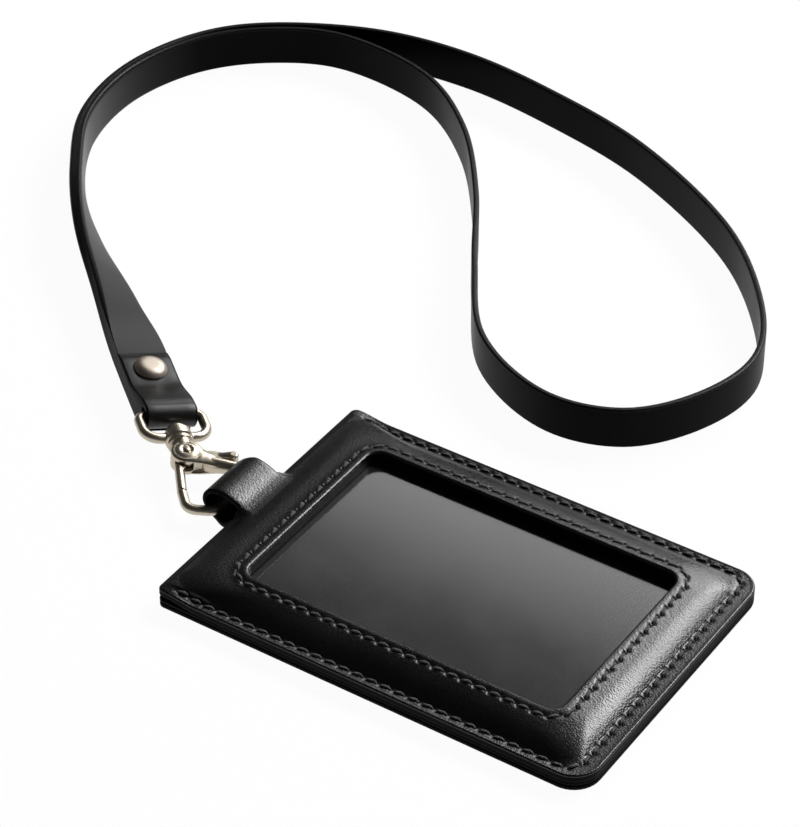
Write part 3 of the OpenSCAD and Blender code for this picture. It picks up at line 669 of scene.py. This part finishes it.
rivet_cap = turned("rivet_head", CAP_PROFILE, on_axis(BAR_S + RIVET_AT, CAP_BASE_N), EYE_N, EYE_X, [RIVET],
                   "strap", ["rivet_cap"])
rivet_foot = turned("rivet_foot", FOOT_PROFILE, on_axis(BAR_S + RIVET_AT, UNDER_N), EYE_N, EYE_X, [NICKEL],
                    "strap", ["rivet_post"])


# Holder outline rings as in the part's source, with a wider flat rim along the bottom
MIN_CORNER_R, PAD_FOOT_R = 0.6, 4.2
LOW_RIM_MORE, LOW_RIM_FROM, LOW_RIM_TO = 1.2, 0.3, 1.7
SIDE_END = HOLDER_H / 2 - 4
BREAK_LEN = 8.0


def corner_at(r, inset):
    if inset <= RIM_W:
        return max(r - inset, MIN_CORNER_R)
    return mix(max(r - RIM_W, PAD_FOOT_R), PAD_CORNER_R, (inset - RIM_W) / PAD_W)


def low_y(inset):
    """Bottom side of a ring: the flat rim is wider there than at the sides."""
    return -HOLDER_H / 2 + inset + LOW_RIM_MORE * float(smooth_step(inset, LOW_RIM_FROM, LOW_RIM_TO))


def rim_row(inset, z, inset_top, z_top):
    return (HOLDER_W / 2 - inset, low_y(inset), HOLDER_H / 2 - inset_top,
            corner_at(CORNER_R, inset), corner_at(TOP_CORNER_R, inset), z, z_top)


def window_row(out, z):
    r = WINDOW_R + out
    return (WINDOW_W / 2 + out, -WINDOW_H / 2 - out, WINDOW_H / 2 + out, r, r, z, z)


def outline(row, long_n, short_n, arc_n, break_n):
    """Points of one ring; along the last stretch of the long sides its height goes over to the top's."""
    hw, low, high, r_low, r_high, z, z_top = row
    brk = high - r_high - BREAK_LEN
    pts = []

    def line(a, b, n):
        a, b = np.array(a, float), np.array(b, float)
        for k in range(n):
            spot = mix(a, b, k / n)
            spot[2] = mix(a[2], b[2], smooth_step(k / n, 0, 1))
            pts.append(spot)

    def arc(cx, cy, r, start, height):
        for k in range(arc_n):
            a = math.radians(start + 90 * k / arc_n)
            pts.append(np.array([cx + r * math.cos(a), cy + r * math.sin(a), height]))

    arc(hw - r_low, low + r_low, r_low, -90, z)
    line((hw, low + r_low, z), (hw, brk, z), long_n)
    line((hw, brk, z), (hw, high - r_high, z_top), break_n)
    arc(hw - r_high, high - r_high, r_high, 0, z_top)
    line((hw - r_high, high, z_top), (-hw + r_high, high, z_top), short_n)
    arc(-hw + r_high, high - r_high, r_high, 90, z_top)
    line((-hw, high - r_high, z_top), (-hw, brk, z), break_n)
    line((-hw, brk, z), (-hw, low + r_low, z), long_n)
    arc(-hw + r_low, low + r_low, r_low, 180, z)
    line((-hw + r_low, low, z), (hw - r_low, low, z), short_n)
    return np.array(pts)


# Stitch places: x, y, heading, z
ARC_STEPS, HEADING_STEP = 40, 0.3


def round_path(hw, low, high, r, corners):
    """Fine line around a box with round corners, from the top left and down; open without top corners."""
    pts = [(-hw, high - (r if corners == 4 else 0))]
    spots = [(-hw + r, low + r, 180), (hw - r, low + r, 270), (hw - r, high - r, 0), (-hw + r, high - r, 90)]
    for cx, cy, start in spots[:corners]:
        for k in range(ARC_STEPS + 1):
            a = math.radians(start + 90 * k / ARC_STEPS)
            pts.append((cx + r * math.cos(a), cy + r * math.sin(a)))
    pts.append((hw, high) if corners == 2 else pts[0])
    return np.array(pts, float)


def along(path, closed, height):
    """Stitches at an even pitch along a path."""
    steps = run_of(path)
    total = steps[-1] if closed else steps[-1] - STITCH_LEN
    n = round(total / PITCH)
    first = 0 if closed else STITCH_LEN / 2
    rows = []
    for i in range(n if closed else n + 1):
        at = first + total * i / n
        (x, y), (u, v), (p, q) = (
            [np.interp(at + d, steps, path[:, c]) for c in (0, 1)] for d in (0, -HEADING_STEP, HEADING_STEP)
        )
        rows.append((x, y, math.atan2(q - v, p - u), height(y)))
    return rows


# The window's seam runs on the pad's rise to the lip, which only the scene has
SEAM_Z = PAD_Z + 0.62
SEAM_OUT, SEAM_SINK, RIM_MARGIN = 2.2, 0.04, 0.35
TOP_END, TOP_MORE = HOLDER_H / 2 - 2.2, 0.25


def rim_height(y):
    return mix(RIM_Z, TOP_RIM_Z + TOP_MORE, float(smooth_step(y, TOP_END - BREAK_LEN, TOP_END)))


def seam_height(y):
    return SEAM_Z - SEAM_SINK


rim_in = RIM_W - STITCH_W / 2 - RIM_MARGIN
rim_path = round_path(HOLDER_W / 2 - rim_in, low_y(rim_in), SIDE_END, CORNER_R - rim_in, 2)
seam_half_w, seam_half_h = WINDOW_W / 2 + SEAM_OUT, WINDOW_H / 2 + SEAM_OUT
seam_path = round_path(seam_half_w, -seam_half_h, seam_half_h, WINDOW_R + SEAM_OUT, 4)
EDGE_ROWS = along(rim_path, False, rim_height)
WINDOW_ROWS = along(seam_path, True, seam_height)

# Stitches: slant, dimple around each end with painted shade in it, and the thread's radius, taper, rise,
# dive, oval and twist
SLANT = math.radians(9)
HOLE_R, HOLE_DEPTH = 0.42, 0.36
THREAD_R, THREAD_TAPER, THREAD_RISE, DIVE, END_MORE = 0.27, 0.06, 0.15, 0.8, 0.05
OVAL_W, OVAL_H, TWIST, TWIST_TURN = 1.08, 0.92, 0.09, 5.5
UP = np.array([0, 0, 1.0])


def stitch_ends(rows):
    out = []
    for x, y, turn, _ in rows:
        for side in (-1, 1):
            a = turn + SLANT
            out.append((x + side * STITCH_LEN / 2 * math.cos(a), y + side * STITCH_LEN / 2 * math.sin(a)))
    return np.array(out)


def make_stitches(name, rows, node):
    sides, count = 10, 13
    verts, faces, uvs = [], [], []
    for x, y, turn, z in rows:
        a = turn + SLANT
        way = np.array([math.cos(a), math.sin(a), 0])
        across = np.array([-math.sin(a), math.cos(a), 0])
        base = len(verts)
        for i in range(count):
            t = -1 + 2 * i / (count - 1)
            s = t * (STITCH_LEN / 2 + END_MORE)
            rise = THREAD_RISE - DIVE * t**4
            slope = -DIVE * 4 * t**3 / (STITCH_LEN / 2)
            n = np.cross(unit(way + slope * UP), across)
            r = THREAD_R - THREAD_TAPER * abs(t) ** 3
            centre = np.array([x, y, z]) + s * way + rise * UP
            for k in range(sides):
                b = 2 * math.pi * k / sides
                rr = r * (1 + TWIST * math.cos(2 * b - TWIST_TURN * t))
                verts.append(centre + rr * OVAL_W * math.cos(b) * across + rr * OVAL_H * math.sin(b) * n)
                uvs.append((k / sides, i / (count - 1)))
        for i in range(count - 1):
            for k in range(sides):
                q = (k + 1) % sides
                faces.append((base + i * sides + k, base + i * sides + q,
                              base + (i + 1) * sides + q, base + (i + 1) * sides + k))
        faces.append(tuple(base + k for k in range(sides)))
        faces.append(tuple(base + (count - 1) * sides + k for k in range(sides)))
    return new_piece(name, verts, faces, [THREAD], "holder", [node], uvs=uvs)


make_stitches("edge_thread", EDGE_ROWS, "edge_stitching")
make_stitches("window_thread", WINDOW_ROWS, "window_stitching")


# Hang tab centre line over the hook bar: y from the top edge, z, reach to the right and to the left
TAB_HALF = TAB_W / 2
TOP_Y = HOLDER_H / 2
TAB_ROWS = [
    (-5.5, PAD_Z - 0.85, TAB_HALF - 1.2, TAB_HALF - 1.2),
    (-2.5, TOP_RIM_Z + 0.4, TAB_HALF - 0.7, TAB_HALF - 0.7),
    (-0.4, TOP_RIM_Z + 0.9, TAB_HALF - 0.15, TAB_HALF - 0.15), (1.6, BAR_Z + 3.6, TAB_HALF, TAB_HALF),
    (3.7, BAR_Z + 4.3, TAB_HALF, TAB_HALF), (5.5, BAR_Z + 4.35, TAB_HALF, TAB_HALF),
    (7.3, BAR_Z + 3.8, mix(TAB_HALF, TAB_BACK, 0.5), TAB_HALF), (8.6, BAR_Z + 2.4, TAB_BACK, TAB_HALF),
    (8.9, BAR_Z + 0.7, TAB_BACK, TAB_HALF), (8.1, BAR_Z - 0.9, TAB_BACK, TAB_HALF),
    (6.1, TAB_T / 2 + 0.15, TAB_BACK, TAB_HALF + 0.4), (3.5, TAB_T / 2 + 0.1, TAB_BACK, TAB_HALF + 1.6),
    (1.7, BAR_Z - 1.2, TAB_BACK, TAB_HALF + 2), (0.5, TOP_UNDER_Z - 0.35, TAB_BACK, TAB_HALF + 2),
    (-0.5, TOP_UNDER_Z + TAB_T / 2 + 0.05, TAB_BACK, TAB_HALF + 2),
]
TAB_STEPS = 7
TAB_LINE = catmull(TAB_ROWS, TAB_STEPS)
TAB_WAYS = np.array([unit(w) for w in np.gradient(TAB_LINE[:, :2], axis=0)])

# Blend of the cover into the tab: rows that take part, and where it starts, to the side and along
BLEND_ROWS = 3 * TAB_STEPS + 1
BLEND_IN, BLEND_OUT, BLEND_FROM, BLEND_TO = 0.4, 2.4, -6.0, -3.0
TAB_SINK, TAB_SINK_FROM, TAB_SINK_TO, TAB_PROUD = 0.1, 0.2, 1.8, 0.04


def tab_lift(points):
    """How far the cover rises towards the hang tab that grows out of it."""
    tops = (TAB_LINE[:, :2] + TAB_T / 2 * np.stack([-TAB_WAYS[:, 1], TAB_WAYS[:, 0]], 1))[:BLEND_ROWS]
    sunk = TAB_SINK * smooth_step(-tops[:, 0], TAB_SINK_FROM, TAB_SINK_TO)
    height = np.interp(points[:, 1] - TOP_Y, tops[:, 0], tops[:, 1] - TAB_PROUD + sunk)
    over = np.maximum(height - points[:, 2], 0)
    side = 1 - smooth_step(np.abs(points[:, 0]), TAB_HALF - BLEND_IN, TAB_HALF + BLEND_OUT)
    start = smooth_step(points[:, 1] - TOP_Y, BLEND_FROM, BLEND_TO)
    top = smooth_step(points[:, 2], TOP_UNDER_Z + 0.1, TOP_RIM_Z)
    return over * side * start * top


# Padded front cover: height and width of the crown, and how the pad arches up to it
CROWN, CREST_W, ARCH_POWER = 0.35, 2.2, 2.2
TOP_FLAT, TOP_FOOT = 1.6, 0.3
COVER_GRID = 420, 290, 24, 14
RING_STEPS = 4
OUTER_EDGE_RINGS, LIP_RINGS = 4, 7
CHUNK = 4000


def make_cover():
    def inset(t):
        return RIM_W + PAD_W * t

    def top_in(t):
        return mix(TOP_FLAT, PAD_INSET, t)

    def arch(t):
        rise = 1 - (1 - t * PAD_W / (PAD_W + CREST_W)) ** ARCH_POWER
        side, top = (mix(foot, PAD_Z + CROWN, rise) for foot in (RIM_Z, TOP_RIM_Z + TOP_FOOT))
        return rim_row(inset(t), side, top_in(t), top)

    upper = [
        rim_row(0, LINING_Z, 0, TOP_UNDER_Z),
        rim_row(0, RIM_Z - 0.35, 0, TOP_RIM_Z - 0.35),
        rim_row(0.08, RIM_Z - 0.1, 0.08, TOP_RIM_Z - 0.12),
        rim_row(0.34, RIM_Z + 0.08, 0.32, TOP_RIM_Z),
        rim_row(0.75, RIM_Z, 0.6, TOP_RIM_Z + 0.06),
        rim_row(1.5, RIM_Z - 0.02, 0.9, TOP_RIM_Z + 0.14),
        rim_row(RIM_W - 0.15, RIM_Z - 0.05, top_in(0), TOP_RIM_Z + TOP_FOOT),
        *[arch(t) for t in (0.06, 0.2, 0.4, 0.6, 0.8, 1.0)],
        window_row(3.7, PAD_Z + CROWN),
        window_row(2.8, SEAM_Z - 0.11),
        window_row(2.4, SEAM_Z - 0.04),
        window_row(2.0, SEAM_Z + 0.04),
        window_row(1.6, SEAM_Z + 0.12),
        window_row(0.9, SEAM_Z + 0.24),
        window_row(0.5, SEAM_Z + 0.25),
        window_row(0.2, SEAM_Z + 0.12),
        window_row(0.03, SEAM_Z - 0.12),
        window_row(0, SEAM_Z - 0.4),
        window_row(0, COVER_Z),
    ]
    under = [
        window_row(1.6, COVER_Z),
        window_row(2, COVER_Z + 0.3),
        rim_row(PAD_INSET, PAD_IN_Z, PAD_INSET, PAD_IN_Z),
        rim_row(inset(0.66), mix(LINING_Z, PAD_IN_Z, 0.75), inset(0.66), mix(TOP_UNDER_Z, PAD_IN_Z, 0.75)),
        rim_row(inset(0.4), mix(LINING_Z, PAD_IN_Z, 0.25), inset(0.4), mix(TOP_UNDER_Z, PAD_IN_Z, 0.2)),
        rim_row(inset(0.28), LINING_Z, inset(0.28), TOP_UNDER_Z),
    ]
    rows = gentle(upper, RING_STEPS)
    top_count = len(rows)
    rings = [outline(r, *COVER_GRID) for r in np.vstack([rows, under])]
    top = np.array(rings[:top_count])
    flat = top.reshape(-1, 3)
    # Stitch dimples: they sink the cover, and the same mark paints shade into them in the leather's colour.
    dimple_and_shade = np.zeros(len(flat))
    ends = np.vstack([stitch_ends(EDGE_ROWS), stitch_ends(WINDOW_ROWS)])
    for i in range(0, len(flat), CHUNK):
        d2 = ((flat[i : i + CHUNK, None, :2] - ends[None]) ** 2).sum(2).min(1)
        dimple_and_shade[i : i + CHUNK] = np.exp(-d2 / HOLE_R**2)
    dimple_and_shade[flat[:, 2] < RIM_Z - 0.3] = 0
    flat[:, 2] += tab_lift(flat) - HOLE_DEPTH * dimple_and_shade
    rings[:top_count] = list(flat.reshape(top.shape))
    marks = np.concatenate([dimple_and_shade, np.zeros((len(rings) - top_count) * len(rings[0]))])
    faces, spots = skin(rings, closed_along=True)
    face_mats = [1 if i < OUTER_EDGE_RINGS or i >= top_count - LIP_RINGS else 0 for i, _ in spots]
    obj = new_piece("cover", points_of(rings), faces, [COVER, SIDE], "holder", ["front_cover", "foam_frame"],
                    face_mats, marks={"hole_shade": marks})
    return obj


make_cover()


# Hang tab, swept over the hook bar
TAB_EDGE = 0.45


def make_tab():
    """The section is 1 mm to each side; its flat stretch is pulled out to the reach of every row."""
    section, is_edge = strip_section(1.0, TAB_T / 2, TAB_EDGE, 16, 4)
    flat = 1 - TAB_EDGE
    rings = []
    for (y, z, right, left), w in zip(TAB_LINE, TAB_WAYS):
        ring = []
        for a, b in section:
            if abs(a) > flat:
                x = (right - (1.0 - a)) if a > 0 else (-left + (1.0 + a))
            else:
                x = mix(-left + TAB_EDGE, right - TAB_EDGE, (a + flat) / (2 * flat))
            ring.append((x, TOP_Y + y - w[1] * b, z + w[0] * b))
        rings.append(ring)
    faces, spots = skin(rings)
    return new_piece("hang_tab", points_of(rings), faces, [COVER, SIDE], "holder", (),
                     edge_marks(spots, is_edge), ring_uvs(rings))


make_tab()


# Flat leather layers with rolled edges
PLATE_GRID = 40, 30, 10, 4


def make_plate(name, z0, z1, mats, node):
    rows = [
        (0.5, z0), (0.2, z0 + 0.06), (0.05, z0 + 0.2), (0.0, z0 + 0.4),
        (0.0, z1 - 0.3), (0.06, z1 - 0.12), (0.25, z1 - 0.02), (0.6, z1),
    ]
    rings = [outline(rim_row(i, z, i, z), *PLATE_GRID) for i, z in rows]
    faces, spots = skin(rings)
    return new_piece(name, points_of(rings), faces, mats, "holder", [node],
                     [0 if j < 0 else 1 for _, j in spots])


make_plate("back_leather", 0.0, BACK_T, [BACK, SIDE], "back_panel")
make_plate("pocket_floor", BACK_T, LINING_Z, [LINING, SIDE], "pocket_lining")


# Cast and drawn metal pieces: the solids with softened edges
WELD_MM, SHARP_ANGLE = 0.001, math.radians(38)


def soft_copy(name, node, body, mat, voxel=0.0, passes=0, more=()):
    """A node's solid; a voxel size in millimetres softens its edges and melts skins of rings onto it."""
    obj = bpy.data.objects.new(name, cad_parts[node].data.copy())
    scene.collection.objects.link(obj)
    bm = bmesh.new()
    bm.from_mesh(obj.data)
    for rings in more:
        verts = [bm.verts.new([float(c) * MM for c in v]) for r in rings for v in r]
        for f in skin(rings)[0]:
            bm.faces.new([verts[i] for i in f])
    bmesh.ops.remove_doubles(bm, verts=bm.verts, dist=WELD_MM * MM)
    bmesh.ops.recalc_face_normals(bm, faces=bm.faces)
    bm.to_mesh(obj.data)
    bm.free()
    if voxel:
        grid = obj.modifiers.new("grid", "REMESH")
        grid.mode = "VOXEL"
        grid.voxel_size = voxel * MM
        relax = obj.modifiers.new("relax", "SMOOTH")
        relax.factor = 0.5
        relax.iterations = passes
        bpy.context.view_layer.update()
        made = bpy.data.meshes.new_from_object(obj.evaluated_get(bpy.context.evaluated_depsgraph_get()))
        obj.modifiers.clear()
        obj.data = made
    obj.data.materials.clear()
    obj.data.materials.append(mat)
    obj.data.polygons.foreach_set("use_smooth", [True] * len(obj.data.polygons))
    if not voxel:
        obj.data.set_sharp_from_angle(angle=SHARP_ANGLE)
    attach(obj, body)
    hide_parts(node)
    return obj


def in_clasp(x, y, n=0.0):
    return BAR_AT + x * X_DIR + y * CLASP_Y + n * CLASP_N


# Hook head: domed cheeks around the gate pin, as radius and height from the pin's middle
CHEEK = [
    (3.2, 1.0), (3.18, 1.35), (2.95, 1.85), (2.5, 2.2), (1.9, 2.42), (1.35, 2.5), (1.2, 2.3), (0.9, 2.22),
    (0.1, 2.22),
]
cheeks = [turn_rings(CHEEK, PIVOT, side * CLASP_N, X_DIR, 64) for side in (1, -1)]

# Stout arm from the head to the bar: place along it and half width, then how much higher than wide it is
ARM_TOP, ARM_LOW = np.array([3.1, 9.8]), np.array([7.8, 0.0])
ARM = [(-0.06, 1.2), (0, 1.55), (0.12, 1.6), (0.25, 1.5), (0.4, 1.38), (0.55, 1.25), (0.7, 1.08)]
ARM_HIGHER = 1.2
arm_way = unit(ARM_LOW - ARM_TOP)
arm_side = in_clasp(-arm_way[1], arm_way[0]) - in_clasp(0, 0)
arm_rings = [
    [in_clasp(*mix(ARM_TOP, ARM_LOW, t)) + r * (math.cos(a) * arm_side + ARM_HIGHER * math.sin(a) * CLASP_N)
     for a in full_turn(40)]
    for t, r in ARM
]

# Shoulders that carry the cheeks over into the arm: x, y, half width, offset from the middle, half height
SHOULDER = [
    (2.2, 13.3, 2.5, 1.6, 0.5), (2.4, 12.4, 2.55, 1.62, 0.62), (2.9, 10.9, 2.15, 1.5, 0.68),
    (3.5, 9.4, 1.8, 1.2, 0.8), (4.2, 7.8, 1.5, 0.8, 0.9), (5.0, 6.0, 1.2, 0.4, 0.9),
]
shoulders = [
    [
        [in_clasp(x, y, side * n) + w * math.cos(a) * arm_side + h * math.sin(a) * CLASP_N
         for a in full_turn(48)]
        for x, y, w, n, h in SHOULDER
    ]
    for side in (1, -1)
]
soft_copy("clasp_hook", "hook_body", "hook", NICKEL, 0.1, 9, [*cheeks, *shoulders, arm_rings])
soft_copy("clasp_gate", "gate_lever", "gate", NICKEL, 0.09, 7)
soft_copy("clasp_eye", "swivel_eye", "eye", NICKEL, 0.1, 10)
soft_copy("clasp_swivel", "swivel_pin", "hook", NICKEL, 0.09, 7)

# Gate pin with domed ends, as radius and height from its middle
PIN_END = [(0.1, 2.62), (0.45, 2.57), (0.7, 2.42), (0.78, 2.2)]
pin_profile = [(r, -h) for r, h in PIN_END] + PIN_END[::-1]
turned("clasp_rivet", pin_profile, PIVOT, CLASP_N, X_DIR, [NICKEL], "hook", ["gate_pin"])
soft_copy("clasp_spring", "gate_spring", "hook", STEEL)

# The window keeps its solid
film_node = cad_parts["window_film"]
film_node.data.materials.clear()
film_node.data.materials.append(FILM)


# Floor, backdrop and light
FLOOR_WHITE, FLOOR_TONE = 0.96, 0.93
FLOOR_HALF, FLOOR_Z = 6, -0.0002


def floor_material():
    """Pale floor that catches a faint shadow.

    The camera sees the white world through it, and so a part that swings below it. Mirror-like and clear
    pieces see it as white. Lamps shine through it.
    """
    m = bpy.data.materials.new("floor")
    m.use_nodes = True
    t = m.node_tree
    t.nodes.clear()
    out = t.nodes.new("ShaderNodeOutputMaterial")
    path = t.nodes.new("ShaderNodeLightPath")
    clear = t.nodes.new("ShaderNodeBsdfTransparent")
    glow = t.nodes.new("ShaderNodeEmission")
    glow.inputs[0].default_value = (1, 1, 1, 1)
    glow.inputs[1].default_value = 1.0
    last = t.nodes.new("ShaderNodeBsdfDiffuse")
    last.inputs[0].default_value = (FLOOR_TONE, FLOOR_TONE, FLOOR_TONE, 1)
    for ray, part, shader in (
        ("Is Transmission Ray", FLOOR_WHITE, glow), ("Is Glossy Ray", FLOOR_WHITE, glow),
        ("Is Camera Ray", FLOOR_WHITE, clear), ("Is Shadow Ray", 1.0, clear),
    ):
        share = t.nodes.new("ShaderNodeMath")
        share.operation = "MULTIPLY"
        share.inputs[1].default_value = part
        t.links.new(path.outputs[ray], share.inputs[0])
        both = t.nodes.new("ShaderNodeMixShader")
        t.links.new(share.outputs[0], both.inputs[0])
        t.links.new(last.outputs[0], both.inputs[1])
        t.links.new(shader.outputs[0], both.inputs[2])
        last = both
    t.links.new(last.outputs[0], out.inputs[0])
    return m


floor_corners = [(x * FLOOR_HALF, y * FLOOR_HALF, FLOOR_Z) for x, y in ((-1, -1), (1, -1), (1, 1), (-1, 1))]
floor_mesh = bpy.data.meshes.new("floor")
floor_mesh.from_pydata(floor_corners, [], [(0, 1, 2, 3)])
floor_mesh.materials.append(floor_material())
floor = bpy.data.objects.new("floor", floor_mesh)
scene.collection.objects.link(floor)

# White backdrop for the camera; light and reflections get a dim sky, as height and level
SKY = [(0.0, 0.14), (0.6, 0.07), (0.66, 0.03), (1.0, 0.02)]
world = bpy.data.worlds.new("studio")
scene.world = world
world.use_nodes = True
wt = world.node_tree
wt.nodes.clear()
w_out = wt.nodes.new("ShaderNodeOutputWorld")
w_sky = wt.nodes.new("ShaderNodeBackground")
w_white = wt.nodes.new("ShaderNodeBackground")
w_white.inputs[0].default_value = (1, 1, 1, 1)
w_mix = wt.nodes.new("ShaderNodeMixShader")
w_path = wt.nodes.new("ShaderNodeLightPath")
w_at = wt.nodes.new("ShaderNodeTexCoord")
w_sep = wt.nodes.new("ShaderNodeSeparateXYZ")
w_ramp = wt.nodes.new("ShaderNodeValToRGB")
wt.links.new(w_at.outputs["Generated"], w_sep.inputs[0])
wt.links.new(w_sep.outputs["Z"], w_ramp.inputs[0])
sky_stops = w_ramp.color_ramp.elements
for height, _ in SKY[1:-1]:
    sky_stops.new(height)
for stop, (_, level) in zip(sky_stops, SKY):
    stop.color = (level, level, level, 1)
w_sky.inputs[1].default_value = 1.0
wt.links.new(w_ramp.outputs[0], w_sky.inputs[0])
wt.links.new(w_path.outputs["Is Camera Ray"], w_mix.inputs[0])
wt.links.new(w_sky.outputs[0], w_mix.inputs[1])
wt.links.new(w_white.outputs[0], w_mix.inputs[2])
wt.links.new(w_mix.outputs[0], w_out.inputs[0])


# Lamps aimed at the middle of the object: direction, distance and size in metres, power in watts
LAMP_AIM = Vector((0.02, 0.02, 0.0))


def softbox(name, direction, distance, size, power, shape="RECTANGLE"):
    data = bpy.data.lights.new(name, "AREA")
    data.shape = shape
    data.size, data.size_y = size
    data.energy = power
    obj = bpy.data.objects.new(name, data)
    scene.collection.objects.link(obj)
    aim = Vector(direction).normalized()
    obj.location = LAMP_AIM + aim * distance
    obj.rotation_mode = "QUATERNION"
    obj.rotation_quaternion = aim.to_track_quat("Z", "Y")


def toward(azimuth, elevation):
    a, e = math.radians(azimuth), math.radians(elevation)
    return (math.cos(a) * math.cos(e), math.sin(a) * math.cos(e), math.sin(e))


softbox("back_card", toward(17, 36), 1.6, (1.23, 0.39), 2.1, "ELLIPSE")
softbox("mid_box", toward(9, 35), 1.4, (0.5, 0.3), 4.1)
softbox("low_box", toward(6, 11), 1.4, (0.45, 0.5), 1.8)
softbox("top_box", toward(-4, 47), 1.4, (0.62, 0.27), 3.6)
softbox("side_box", toward(-24, 40), 1.4, (0.82, 0.42), 22)
